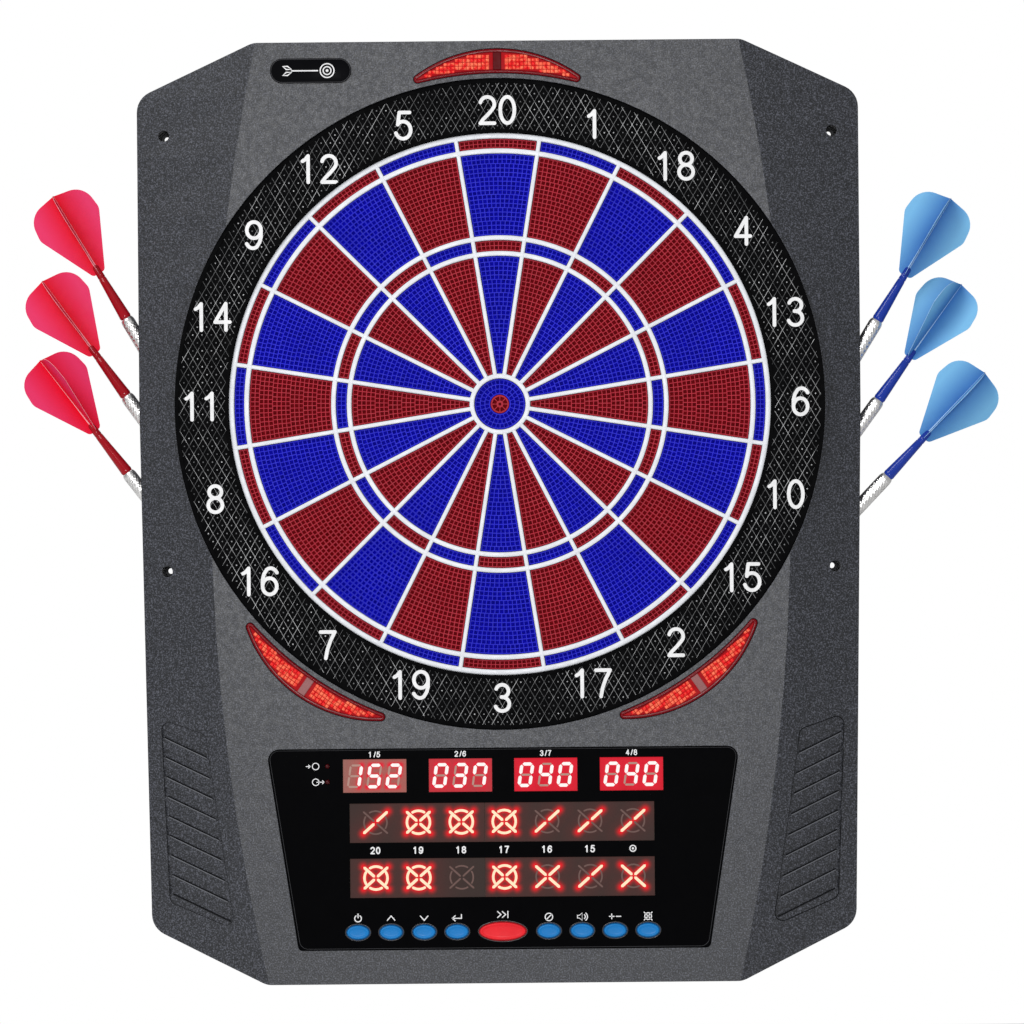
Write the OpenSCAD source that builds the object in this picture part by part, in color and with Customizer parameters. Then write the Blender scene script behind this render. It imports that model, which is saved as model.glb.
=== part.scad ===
// Electronic dartboard that hangs on a wall, with six darts stored in its sides.
// X runs to the right, Z up, and the front faces -Y. The origin is on the wall,
// straight behind the bullseye. Depths are counted forwards from the wall.

/* [Case] */
// Half of the case's width at the sides
case_half_w = 230; // [226:0.5:236]
// Height of the case's top edge above the bullseye
case_top = 230.5; // [226:0.5:236]
// Distance of the case's bottom edge below the bullseye
case_drop = 367.7; // [362:0.1:374]
// Depth from the wall to the flat front of the case
case_depth = 44; // [43:0.5:46]
// Depth of the case's sloping front at its side edges
edge_depth = 30; // [29:0.5:32]
// Depth of the seam between the rear cover and the front frame
seam_depth = 22; // [21:0.5:23]
// Thickness of the case walls
wall = 3; // [2.5:0.1:3.5]
// Half width of the flat front where it is widest
crease_max = 184; // [180:0.5:188]
// Height of the flat front's widest place
crease_z = -60; // [-70:1:-50]

/* [Target] */
// Width of the spider's webs
web_w = 3; // [2.6:0.1:3.4]
// Depth of the spider's front edge
spider_depth = 41; // [40:0.5:42]
// Depth of the segments' faces
segment_depth = 39; // [38:0.5:39.5]
// Gap between a segment and the webs around it
segment_gap = 0.3; // [0.25:0.05:0.4]
// Travel of a segment that is hit
segment_travel = 0.8; // [0.5:0.1:0.8]
// Outer radius of the number ring that catches stray darts
catch_r = 206.5; // [205:0.5:208]
// Depth of the number ring's front
catch_depth = 42; // [41.5:0.5:43]

/* [Panel] */
// Depth of the display panel's front
panel_depth = 43.2; // [42.8:0.1:43.6]
// Height of the button row
button_z = -334.8; // [-336:0.1:-333]
// Travel of a button
button_travel = 1.2; // [0.8:0.1:1.3]
// Width of one score display
score_w = 40; // [39:0.1:41]
// Height of one score display
score_h = 20.9; // [20:0.1:21.5]

/* [Mounting] */
// Radius of the wells that take the wall screws' heads
mount_well_r = 3.5; // [3:0.1:4]
// Radius of the four wall screw holes at the bottom of the wells
mount_hole_r = 1.8; // [1.6:0.05:2.5]
// Half of the distance between the holes' columns
mount_x = 212.7; // [211:0.1:214]
// Height of the upper holes
mount_top_z = 172.7; // [168:0.1:177]
// Height of the lower holes
mount_low_z = -104.8; // [-108:0.1:-102]

/* [Darts] */
// Length of a dart's flight
flight_len = 57.6; // [54:0.1:60]
// Distance from a flight's tail to the barrel
barrel_start = 91.1; // [88:0.1:94]
// Distance from a flight's tail to the barrel's front end
barrel_end = 131; // [128:0.5:134]
// Whole length of a dart
dart_len = 156; // [150:1:158]
// Radius of the barrel
barrel_r = 4.4; // [3.8:0.1:4.5]
// Thickness of a flight's wing
wing_t = 0.7; // [0.5:0.1:1]

/* [Hidden] */
$fn = 96;
tiny = 0.01;

// Colours
charcoal = "#55565b";
gloss_black = "#101012";
spider_white = "#eef0f6";
target_red = "#b0283a";
target_blue = "#1f24c4";
lens_red = "#c21324";
board_green = "#1f5a35";
steel = "#b8bac0";
button_blue = "#1d33c8";

// Case outline, seen from the front and counter-clockwise
crease_bow = 3.62e-4;
crown_steps = 16;
corner_r = 14;
well_floor = 3.5;
low_half_w = 224.5;
low_side_z = -332;
top_half_l = 155;
top_side_z = 197;
bottom_half_l = 151;
case_points = [[-bottom_half_l, -case_drop], [bottom_half_l, -case_drop],
    [low_half_w, low_side_z], [case_half_w, 0], [case_half_w, top_side_z],
    [top_half_l, case_top], [-top_half_l, case_top],
    [-case_half_w, top_side_z], [-case_half_w, 0], [-low_half_w, low_side_z]];
case_radii = [for (p = case_points) p[1] == 0 ? 0 : corner_r];

// Target: rings of webs as [inner radius, outer radius]
web_rings = [[16.3, 19.3], [94.3, 97.3], [104.3, 107.3], [159.4, 162.5], [168.9, 172.3]];
bull_r = 6;
web_back = 28.7;
flange_front = web_back - 0.2;
segment_lip = 0.9;
plate_r = 186;
matrix_r = 176;
plate_back = 21;
plate_front = 24;
matrix_front = 24.8;
mat_front = 26.4;
segment_back = mat_front + segment_travel + 0.1;
slice = 18;

// Number ring
catch_inner_r = 172.8;
catch_back = 27;
ring_wall = 2.5;
frame_hole_r = catch_r + 0.5;
collar_back = 29.2;
collar_r = frame_hole_r + 2;
plate_screw_r = 180.5;
plate_screws = 12;
post_r = 196;
post_angles = [35, 90, 145, 215, 250, 290, 325];

// Lens crescents
lens_inner_r = 210;
lens_arc_r = 88;
lens_apex_r = 225.6;
lens_round = 2.6;
lens_turns = [0, 145, -145];
light_board_front = 34.6;
light_post_at = [35.5, 223.8];

// Display panel
panel_t = 2.2;
panel_back = panel_depth - panel_t;
panel_points = [[-130.5, -346], [130.5, -346], [150, -218.4], [-150, -218.4]];
panel_radii = [3, 3, 7, 7];
panel_gap = 0.25;
board_back = 30;
board_front = 31.6;
window_gap = 0.2;
display_front = panel_depth - 0.6;
score_x = [-81.6, -27.1, 27.1, 81.6];
score_z = -235.6;
cricket_h = 24.7;
cricket_left = -97.6;
cricket_seam = -12;
cricket_right = 95.7;
cricket_z = [-265.6, -300.6];
led_x = -111.5;
led_z = [-229.2, -239.2];
led_r = 1.5;
button_x = [-92.9, -71.9, -50.9, -30, -1, 28.3, 49.4, 70.3, 91.3];
small_button = [7, 4.3];
next_button = [14.6, 5.6];
button_ring = 0.9;
button_front = panel_depth + 1.4;
button_flange = [panel_back - 1.4, panel_back - 0.2];
dome_top = 35;
stem_end = dome_top + button_travel + 0.2;
board_screw_at = [[132, -228], [112, -282], [118, -340]];

// Case screws, as half of their positions
case_screw_at = [[120, 214], [216, 130], [214, -170], [196, -330], [70, -356]];

// Ribbed panel on each side
rib_points = [[-213, -315.5], [-170.8, -333], [-188.9, -208.3], [-217.8, -198.5]];
rib_count = 9;
rib_pitch = 12.2;
rib_first_z = -207;
rib_fall = 25;
rib_w = 5.4;

// Speaker and power inlet
speaker_at = [-90, -285];
speaker_r = 20;
jack_x = 60;
jack_depth = 13;
jack_bore_r = 3;

// Darts: side, height where they enter the case, angle above the horizontal,
// depth of the axis and turn of the flight about it
darts = [[-1, 43, 59.5, 23.5, 0], [-1, -4.7, 54.3, 21.9, 0], [-1, -52.2, 52.5, 23.5, 17],
    [1, 33, 58.3, 23.5, 5], [1, -15.7, 53.8, 21.9, -24], [1, -66.1, 46.3, 23.5, 0]];
entry_from_tail = [107.6, 106.4, 104.8, 113.2, 111.7, 116.2];
dart_hole_r = 5.2;
shaft_r = 2.3;
shaft_end_r = 3.8;
holder_x = [213.5, 225];
holder_z = [-88, 52];
holder_depth = [2.5, 27];

// ---------------------------------------------------------------- helpers

function unit(v) = v / norm(v);
function item(list, i) = list[(i + len(list)) % len(list)];
function turn(v, a) = [v[0] * cos(a) - v[1] * sin(a), v[0] * sin(a) + v[1] * cos(a)];

// Arc that rounds the corner b between a and c
function corner(a, b, c, r, n) =
    let (u = unit(a - b), v = unit(c - b), half = acos(u * v) / 2)
    let (centre = b + unit(u + v) * r / sin(half), start = b + u * r / tan(half) - centre)
    let (way = sign(cross(b - a, c - b)))
    r == 0 ? [b] : [for (k = [0:n]) centre + turn(start, way * (180 - 2 * half) * k / n)];

// Polygon with each corner rounded by its own radius
function rounded(p, r, n = 6) =
    [for (i = [0:len(p) - 1]) each corner(item(p, i - 1), p[i], item(p, i + 1), r[i], n)];

// Counter-clockwise polygon moved inwards by d
function inset(p, d) =
    [for (i = [0:len(p) - 1])
        let (u = unit(p[i] - item(p, i - 1)), v = unit(item(p, i + 1) - p[i]))
        let (m = [-u[1], u[0]], n = [-v[1], v[0]])
        p[i] + d * (m + n) / (1 + m * n)];

function oval(size) = [for (a = [0:7.5:352.5]) [size[0] * cos(a), size[1] * sin(a)]];

// A flat shape, drawn as seen from the front, between two depths
module slab(d0, d1) {
    translate([0, -d0, 0]) rotate([90, 0, 0]) linear_extrude(d1 - d0) children();
}

// A round rod along Y between two depths
module rod(at, r, d0, d1) {
    translate([at[0], -d0, at[1]]) rotate([90, 0, 0]) cylinder(r = r, h = d1 - d0);
}

module ring(r0, r1) {
    difference() {
        circle(r1);
        circle(r0);
    }
}

module tube(at, r0, r1, d0, d1) {
    difference() {
        rod(at, r1, d0, d1);
        rod(at, r0, d0 - 1, d1 + 1);
    }
}

// A dart's frame: +Z runs from its tail to its point, in the plane of the board
module along_dart(i) {
    d = darts[i];
    reach = entry_from_tail[i];
    tail_x = case_half_w + reach * cos(d[2]);
    tail_z = d[1] + reach * sin(d[2]);
    translate([d[0] * tail_x, -d[3], tail_z]) rotate([0, -d[0] * (90 + d[2]), 0]) children();
}

// ---------------------------------------------------------------- case

module case_outline(t) {
    polygon(rounded(inset(case_points, t), [for (r = case_radii) max(r - t, 0)]));
}

function crease(z) = crease_max - crease_bow * pow(z - crease_z, 2);

// One level of the sloping front, moved inwards by t
function crown_level(z, t) =
    let (s = (case_depth - edge_depth) / (case_half_w - crease(z)), k = sqrt(1 + s * s))
    let (c = crease(z) + t * (1 - k) / s, w = case_half_w + 2, e = edge_depth - 2 * s - t * k)
    [[-w, 5, z], [-w, -e, z], [-c, t - case_depth, z],
     [c, t - case_depth, z], [w, -e, z], [w, 5, z]];

// The solid behind the sloping front, which is flat between two bowed creases
module crown(t) {
    low = -case_drop - 5;
    high = case_top + 5;
    points = [for (i = [0:crown_steps]) each crown_level(low + (high - low) * i / crown_steps, t)];
    sides = [for (i = [0:crown_steps - 1], j = [0:5])
        let (a = 6 * i + j, b = 6 * i + (j + 1) % 6)
        each [[a, b + 6, b], [a, a + 6, b + 6]]];
    last = 6 * crown_steps;
    polyhedron(points, concat(sides, [[for (j = [0:5]) j]], [[for (j = [5:-1:0]) last + j]]));
}

module case_solid(t, d0) {
    intersection() {
        slab(d0, case_depth + 5) case_outline(t);
        crown(t);
    }
}

module both_sides() {
    children();
    mirror([1, 0, 0]) children();
}

module mount_holes() {
    for (x = [-mount_x, mount_x], z = [mount_top_z, mount_low_z]) {
        rod([x, z], mount_well_r, well_floor, case_depth + 1);
        rod([x, z], mount_hole_r, -1, well_floor + 1);
    }
}

module dart_bores(r) {
    for (i = [0:5]) along_dart(i) translate([0, 0, barrel_start - 20]) cylinder(r = r, h = 90);
}

// Shallow ribbed panel, cut into the sloping side of the front
module rib_cut() {
    intersection() {
        slab(seam_depth, case_depth) polygon(rounded(rib_points, [5, 5, 5, 5]));
        union() {
            difference() {
                slab(seam_depth, case_depth) polygon(rounded(rib_points, [5, 5, 5, 5]));
                crown(0.9);
            }
            difference() {
                for (i = [0:rib_count - 1])
                    translate([0, 0, rib_first_z - i * rib_pitch]) rib_bar();
                crown(2);
            }
        }
    }
}

module rib_bar() {
    slab(seam_depth, case_depth) translate([-218, 0]) rotate(-rib_fall)
        translate([0, -rib_w / 2]) square([60, rib_w]);
}

module front_frame() {
    color(charcoal) difference() {
        union() {
            difference() {
                case_solid(0, seam_depth);
                case_solid(wall, seam_depth - 1);
            }
            intersection() {
                crown(1);
                union() {
                    slab(collar_back, case_depth) ring(frame_hole_r - tiny, collar_r);
                    for (x = [-mount_x, mount_x], z = [mount_top_z, mount_low_z])
                        rod([x, z], mount_well_r + wall, seam_depth, case_depth);
                    both_sides() for (p = case_screw_at) rod(p, 5, seam_depth, case_depth);
                    for (a = lens_turns) rotate([0, a, 0]) both_sides()
                        rod(light_post_at, 1.8, light_board_front, case_depth);
                }
            }
        }
        rod([0, 0], frame_hole_r, seam_depth, case_depth + 1);
        slab(seam_depth, case_depth + 1)
            polygon(rounded(inset(panel_points, -panel_gap), panel_radii));
        for (a = lens_turns) rotate([0, a, 0]) slab(seam_depth, case_depth + 1) crescent(0.25);
        mount_holes();
        dart_bores(dart_hole_r);
        both_sides() rib_cut();
        both_sides() for (p = case_screw_at) rod(p, 1.5, seam_depth - 1, seam_depth + 10);
    }
}

module rear_cover() {
    floor_t = 2.5;
    color(charcoal) difference() {
        union() {
            difference() {
                slab(0, seam_depth) case_outline(0);
                slab(floor_t, seam_depth + 1) case_outline(wall);
            }
            for (x = [-mount_x, mount_x], z = [mount_top_z, mount_low_z])
                rod([x, z], mount_well_r + wall, 1, seam_depth);
            both_sides() for (p = case_screw_at) rod(p, 5, 1, seam_depth);
            for (a = post_angles) rod(post_r * [cos(a), sin(a)], 4.5, 1, plate_front);
            for (a = [0:45:315]) rod(150 * [cos(a), sin(a)], 5, 1, plate_back);
            slab(1, plate_back - 3) ring(98, 100);
        }
        mount_holes();
        dart_bores(dart_hole_r);
        both_sides() for (p = case_screw_at) {
            rod(p, 1.7, -1, seam_depth + 1);
            rod(p, 3.6, -1, 8);
        }
        for (a = post_angles) {
            rod(post_r * [cos(a), sin(a)], 1.7, -1, plate_front + 1);
            rod(post_r * [cos(a), sin(a)], 3.6, -1, 8);
        }
        // Sound slots, vents and stiffening grooves in the back
        for (i = [-3:3]) translate([speaker_at[0] + 5 * i, 0, speaker_at[1]])
            slab(-1, floor_t + 1) square([2, 2 * sqrt(225 - pow(5 * i, 2)) + 4], center = true);
        for (r = [60, 150]) slab(-1, 0.8) ring(r, r + 3);
        both_sides() for (i = [0:5])
            slab(-1, floor_t + 1) translate([60 + 9 * i, 200]) square([3, 16], center = true);
        translate([jack_x, -jack_depth, -case_drop - 1]) cylinder(r = 4, h = wall + 2);
    }
}

// ---------------------------------------------------------------- number ring and lenses

module catch_ring() {
    top = catch_depth - 2.5;
    color(gloss_black) difference() {
        union() {
            slab(top, catch_depth) ring(catch_inner_r, catch_r);
            slab(top, catch_depth + 0.6) ring(catch_r - 2.2, catch_r);
            slab(top, catch_depth + 0.6) ring(catch_inner_r, catch_inner_r + 1.6);
            slab(31, top + 1) ring(catch_inner_r, catch_inner_r + ring_wall);
            slab(catch_back, top + 1) ring(catch_r - ring_wall, catch_r);
            slab(catch_back, catch_back + 2) ring(catch_r - ring_wall, catch_r + 5);
            for (i = [0:plate_screws - 1])
                rod(plate_screw_r * [cos(30 * i + 15), sin(30 * i + 15)], 3.8, 31, top + 1);
            for (a = post_angles) rod(post_r * [cos(a), sin(a)], 4.5, plate_front, top + 1);
        }
        for (i = [0:plate_screws - 1])
            rod(plate_screw_r * [cos(30 * i + 15), sin(30 * i + 15)], 1.3, 30, 38);
        for (a = post_angles) rod(post_r * [cos(a), sin(a)], 1.3, plate_front - 1, 36);
    }
}

// Outline between the ring and a flatter arc, at the top of the board
module crescent(grow) {
    offset(r = lens_round + grow) offset(delta = -lens_round) difference() {
        translate([0, lens_apex_r - lens_arc_r]) circle(lens_arc_r, $fn = 120);
        circle(lens_inner_r, $fn = 300);
    }
}

module light_lens(angle) {
    color(lens_red, 0.85) rotate([0, angle, 0]) {
        slab(40, case_depth + 0.4) crescent(0);
        slab(38.8, 40) intersection() {
            crescent(1.2);
            translate([-60, 211.2]) square([120, 16]);
        }
    }
}

module light_boards() {
    color(board_green) for (a = lens_turns) rotate([0, a, 0]) {
        slab(33, light_board_front) translate([-38, 212.5]) square([76, 13]);
        for (x = [-27, -9, 9, 27]) slab(light_board_front, 36.4)
            translate([x - 1.75, 216]) square(3.5);
    }
}

module badge() {
    color(gloss_black) translate([-118.3, 0, 212.4]) slab(case_depth, case_depth + 1.2) {
        square([35.9, 15.8], center = true);
        for (x = [-17.95, 17.95]) translate([x, 0]) circle(7.9);
    }
}

// ---------------------------------------------------------------- display panel and its boards

module button_outline(i, grow) {
    size = i == 4 ? next_button : small_button;
    translate([button_x[i], button_z]) polygon(oval(size + [grow, grow]));
}

module display_panel() {
    flange_back = panel_back - 1.6;
    color(gloss_black) difference() {
        union() {
            slab(panel_back - tiny, panel_depth) polygon(rounded(panel_points, panel_radii));
            slab(flange_back, panel_back) difference() {
                polygon(rounded(inset(panel_points, -3.5), panel_radii));
                polygon(inset(panel_points, 3));
            }
            both_sides() for (p = board_screw_at) rod(p, 3.2, board_front, panel_back + 1);
        }
        for (x = score_x) slab(panel_back - 1, panel_depth + 1) translate([x, score_z])
            square([score_w + 2 * window_gap, score_h + 2 * window_gap], center = true);
        for (z = cricket_z) slab(panel_back - 1, panel_depth + 1)
            translate([cricket_left - window_gap, z - cricket_h / 2 - window_gap])
                square([cricket_right - cricket_left + 2 * window_gap, cricket_h + 2 * window_gap]);
        for (z = led_z) rod([led_x, z], led_r + 0.15, panel_back - 1, panel_depth + 1);
        for (i = [0:8]) slab(panel_back - 1, panel_depth + 1) button_outline(i, button_ring);
        both_sides() for (p = board_screw_at) rod(p, 1.1, board_front - 1, 38);
    }
}

module main_board() {
    color(board_green) difference() {
        slab(board_back, board_front) polygon(rounded(inset(panel_points, 5), [2, 2, 2, 2]));
        both_sides() for (p = board_screw_at) rod(p, 1.6, board_back - 1, board_front + 1);
    }
}

module score_displays() {
    color("#b98388") for (x = score_x) slab(board_front, display_front)
        translate([x, score_z]) square([score_w, score_h], center = true);
}

module cricket_display(z) {
    color("#3a2422") for (span = [[cricket_left, cricket_seam - 0.1], [cricket_seam + 0.1, cricket_right]])
        slab(board_front, display_front) translate([span[0], z - cricket_h / 2])
            square([span[1] - span[0], cricket_h]);
}

module indicator_leds() {
    color("#7a1018") for (z = led_z) {
        rod([led_x, z], led_r, board_front, panel_depth - 0.4);
        translate([led_x, 0.4 - panel_depth, z]) sphere(led_r);
    }
}

module keypad_mat() {
    color("#c9c9c4") {
        slab(board_front, board_front + 1) translate([-106, button_z - 8]) square([212, 14]);
        for (x = button_x) translate([x, -board_front - 1, button_z]) rotate([90, 0, 0])
            cylinder(r1 = 4, r2 = 2.5, h = dome_top - board_front - 1);
    }
}

module button(i) {
    color(i == 4 ? "#b01020" : button_blue) {
        slab(button_flange[1] - tiny, button_front) button_outline(i, 0);
        slab(button_flange[0], button_flange[1]) button_outline(i, button_ring + 1.2);
        rod([button_x[i], button_z], 2.2, stem_end, button_flange[0] + tiny);
    }
}

module ribbon_cable() {
    cable_back = 24.2;
    cable_t = 0.5;
    bend_z = -236;
    color("#d8d8d2") translate([-13, 0, 0]) rotate([90, 0, 90]) linear_extrude(26)
        polygon([[-cable_back, -matrix_r - 0.6], [-cable_back, bend_z], [-board_back, bend_z],
            [-board_back, bend_z + cable_t], [-cable_back - cable_t, bend_z + cable_t],
            [-cable_back - cable_t, -matrix_r - 0.6]]);
}

module speaker() {
    color("#3a3a3c") translate([speaker_at[0], 0, speaker_at[1]]) rotate([90, 0, 0])
        rotate_extrude() polygon([[0, 6], [speaker_r - 4, 2.6], [speaker_r, 2.6], [speaker_r, 5],
            [10, 12], [10, 18], [0, 18]]);
}

module power_jack() {
    top = -case_drop + wall;
    color("#18181a") difference() {
        union() {
            translate([jack_x - 4.5, -jack_depth - 5.5, top]) cube([9, 11, 12]);
            translate([jack_x, -jack_depth, -case_drop + 0.4]) cylinder(r = 3.8, h = wall);
        }
        translate([jack_x, -jack_depth, -case_drop]) cylinder(r = jack_bore_r, h = 10);
    }
    color(steel) translate([jack_x, -jack_depth, -case_drop + 2]) cylinder(r = 1, h = 9);
}

// ---------------------------------------------------------------- target

module spokes(w, r0, r1) {
    for (a = [0:slice:342]) rotate(a + slice / 2) translate([r0, -w / 2]) square([r1 - r0, w]);
}

module spider() {
    outer = web_rings[4][1];
    color(spider_white) difference() {
        union() {
            slab(web_back, spider_depth) {
                for (r = web_rings) ring(r[0], r[1]);
                spokes(web_w, web_rings[0][1] - 1, outer - 1);
            }
            slab(web_back, 31) ring(outer - 1, plate_r);
        }
        for (i = [0:plate_screws - 1])
            rod(plate_screw_r * [cos(30 * i + 15), sin(30 * i + 15)], 1.7, 20, 32);
    }
}

// One cell of the target at the top of the board, between two radii
module cell(r0, r1, edge) {
    intersection() {
        ring(r0, r1);
        translate([0, edge / sin(slice / 2)])
            polygon([[0, 0], [200 * tan(slice / 2), 200], [-200 * tan(slice / 2), 200]]);
    }
}

// A segment in the band between web rings k and k + 1, with a lip behind the webs
module segment(k, place) {
    r0 = web_rings[k][1] + segment_gap;
    r1 = web_rings[k + 1][0] - segment_gap;
    edge = web_w / 2 + segment_gap;
    rotate([0, place * slice, 0]) {
        slab(segment_back, segment_depth) cell(r0, r1, edge);
        slab(segment_back, flange_front) cell(r0 - segment_lip, r1 + segment_lip, edge - segment_lip);
    }
}

module segments(k, places) {
    for (place = places) segment(k, place);
}

odd_places = [1:2:19];
even_places = [2:2:18];

module outer_bull() {
    outer = web_rings[0][0] - segment_gap;
    color(target_blue) {
        slab(segment_back + 2.3, segment_depth) ring(bull_r + 0.15, outer);
        slab(segment_back, segment_back + 2.4) ring(bull_r + 1.4, outer);
        slab(segment_back, flange_front) ring(bull_r + 1.4, outer + segment_lip);
    }
}

module bullseye() {
    color(target_red) {
        rod([0, 0], bull_r - 0.15, segment_back, segment_depth);
        rod([0, 0], bull_r + 0.8, segment_back, flange_front);
    }
}

module rubber_mat() {
    color("#2a2a2c") rod([0, 0], matrix_r, matrix_front, mat_front);
}

module switch_matrix() {
    color("#cfd6d2") rod([0, 0], matrix_r, plate_front, matrix_front);
}

module backing_plate() {
    color("#8a8c90") difference() {
        union() {
            rod([0, 0], plate_r, plate_back, plate_front);
            slab(plate_front - tiny, web_back) ring(matrix_r + 1.5, plate_r);
        }
        for (i = [0:plate_screws - 1])
            rod(plate_screw_r * [cos(30 * i + 15), sin(30 * i + 15)], 1.7, 20, 30);
        slab(plate_front, web_back + 1) translate([-14, -plate_r - 5]) square([28, 20]);
    }
}

// ---------------------------------------------------------------- fasteners

// A screw driven forwards from behind: head between d0 and d1, tip at d2
module screw(at, head_r, shank_r, d0, d1, d2) {
    difference() {
        union() {
            rod(at, head_r, d0, d1);
            rod(at, shank_r, d1 - tiny, d2);
        }
        for (a = [0, 90]) translate([at[0], -d0, at[1]]) rotate([0, a, 0])
            cube([head_r * 1.2, 1.6, 0.6], center = true);
    }
}

module case_screws() {
    color(steel) {
        both_sides() for (p = case_screw_at) screw(p, 3.2, 1.45, 5.8, 8, seam_depth + 9);
        for (a = post_angles) screw(post_r * [cos(a), sin(a)], 3.2, 1.25, 5.8, 8, 35);
    }
}

module board_screws() {
    color(steel) {
        both_sides() for (p = board_screw_at) screw(p, 2.8, 1.05, 28.2, board_back, 37);
        for (i = [0:plate_screws - 1])
            screw(plate_screw_r * [cos(30 * i + 15), sin(30 * i + 15)], 3, 1.25, 19, plate_back, 37);
    }
}

// ---------------------------------------------------------------- darts

module dart_holders() {
    color("#3c3d41") difference() {
        both_sides() translate([holder_x[0], -holder_depth[1], holder_z[0]])
            cube([holder_x[1] - holder_x[0], holder_depth[1] - holder_depth[0], holder_z[1] - holder_z[0]]);
        dart_bores(barrel_r + 0.4);
    }
}

module dart(i) {
    point_r = 0.5;
    color(steel) along_dart(i) rotate_extrude() polygon([[0, barrel_start],
        [barrel_r - 0.9, barrel_start], [barrel_r, barrel_start + 3],
        [barrel_r, barrel_end - 4], [barrel_r - 1.2, barrel_end], [1.3, barrel_end + 1],
        [point_r, dart_len], [0, dart_len]]);
}

wing_points = [[0, 0], [20, 4], [21.8, 21], [4.2, flight_len], [-4.2, flight_len], [-21.8, 21], [-20, 4]];
wing_radii = [0.6, 13, 8, 4, 4, 8, 13];

module flight(i) {
    color(i < 3 ? "#d81c3c" : "#4a90d8", 0.9) along_dart(i) rotate([0, 0, darts[i][4]]) {
        for (a = [0, 90]) rotate([0, 0, a]) rotate([90, 0, 0])
            translate([0, 0, -wing_t / 2]) linear_extrude(wing_t) polygon(rounded(wing_points, wing_radii));
        translate([0, 0, 30]) cylinder(r1 = 1.2, r2 = shaft_r, h = flight_len - 30);
        translate([0, 0, flight_len - tiny]) cylinder(r1 = shaft_r, r2 = shaft_end_r,
            h = barrel_start - flight_len);
    }
}

// ---------------------------------------------------------------- drawing

front_frame();
rear_cover();
catch_ring();
spider();
display_panel();
badge();
light_lens(lens_turns[0]);  // light_lens_top
light_lens(lens_turns[2]);  // light_lens_left
light_lens(lens_turns[1]);  // light_lens_right
light_boards();
main_board();
score_displays();
cricket_display(cricket_z[0]);  // cricket_display_upper
cricket_display(cricket_z[1]);  // cricket_display_lower
indicator_leds();
keypad_mat();
ribbon_cable();
speaker();
power_jack();
rubber_mat();
switch_matrix();
backing_plate();
dart_holders();
case_screws();
board_screws();
button(0);  // button_on_off
button(1);  // button_up
button(2);  // button_down
button(3);  // button_enter
button(4);  // button_next
button(5);  // button_miss
button(6);  // button_sound
button(7);  // button_handicap
button(8);  // button_cricket
bullseye();
outer_bull();
color(target_red) segment(3, 0);  // double_20
color(target_blue) segment(2, 0);  // outer_single_20
color(target_red) segment(1, 0);  // triple_20
color(target_blue) segment(0, 0);  // inner_single_20
color(target_red) segments(3, even_places);  // doubles_red
color(target_blue) segments(3, odd_places);  // doubles_blue
color(target_red) segments(2, odd_places);  // outer_singles_red
color(target_blue) segments(2, even_places);  // outer_singles_blue
color(target_red) segments(1, even_places);  // triples_red
color(target_blue) segments(1, odd_places);  // triples_blue
color(target_red) segments(0, odd_places);  // inner_singles_red
color(target_blue) segments(0, even_places);  // inner_singles_blue
dart(0);  // dart_1
dart(1);  // dart_2
dart(2);  // dart_3
dart(3);  // dart_4
dart(4);  // dart_5
dart(5);  // dart_6
flight(0);  // flight_1
flight(1);  // flight_2
flight(2);  // flight_3
flight(3);  // flight_4
flight(4);  // flight_5
flight(5);  // flight_6
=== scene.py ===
import math
import random

import bmesh
import bpy
import numpy as np
from mathutils import Matrix, Vector


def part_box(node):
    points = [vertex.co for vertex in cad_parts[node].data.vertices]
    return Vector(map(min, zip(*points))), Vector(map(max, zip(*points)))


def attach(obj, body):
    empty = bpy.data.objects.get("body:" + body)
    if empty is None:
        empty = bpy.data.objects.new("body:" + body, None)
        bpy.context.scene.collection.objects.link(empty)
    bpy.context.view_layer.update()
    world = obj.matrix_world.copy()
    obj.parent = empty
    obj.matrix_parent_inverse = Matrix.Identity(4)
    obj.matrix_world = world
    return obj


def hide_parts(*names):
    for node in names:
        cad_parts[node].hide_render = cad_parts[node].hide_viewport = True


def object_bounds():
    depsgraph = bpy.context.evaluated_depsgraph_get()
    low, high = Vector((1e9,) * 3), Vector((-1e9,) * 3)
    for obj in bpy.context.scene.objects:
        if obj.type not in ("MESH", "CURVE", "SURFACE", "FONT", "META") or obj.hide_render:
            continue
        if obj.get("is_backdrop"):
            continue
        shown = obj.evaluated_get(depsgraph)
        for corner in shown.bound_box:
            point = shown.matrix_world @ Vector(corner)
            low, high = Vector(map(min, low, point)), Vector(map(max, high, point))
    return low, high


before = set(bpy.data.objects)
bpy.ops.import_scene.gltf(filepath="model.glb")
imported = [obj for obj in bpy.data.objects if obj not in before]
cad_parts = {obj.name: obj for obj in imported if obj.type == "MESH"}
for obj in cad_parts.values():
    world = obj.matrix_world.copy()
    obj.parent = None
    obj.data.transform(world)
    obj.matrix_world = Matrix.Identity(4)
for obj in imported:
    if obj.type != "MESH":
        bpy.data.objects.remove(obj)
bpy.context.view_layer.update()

MM = 0.001
random.seed(20)


def front_of(node):
    """Depth of a CAD node's foremost face."""
    return -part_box(node)[0].y / MM


CASE_FRONT = 44.0
RING_FACE = 42.0
RING_LIP = front_of("catch_ring")
SPIDER_FRONT = front_of("spider")
SEGMENT_FRONT = front_of("outer_bull")
SEGMENT_BACK = 27.3
PANEL_FRONT = front_of("display_panel")
DISPLAY_FRONT = front_of("score_displays")
DISPLAY_BACK = -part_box("score_displays")[1].y / MM

# ------------------------------------------------------------------ meshes


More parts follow.
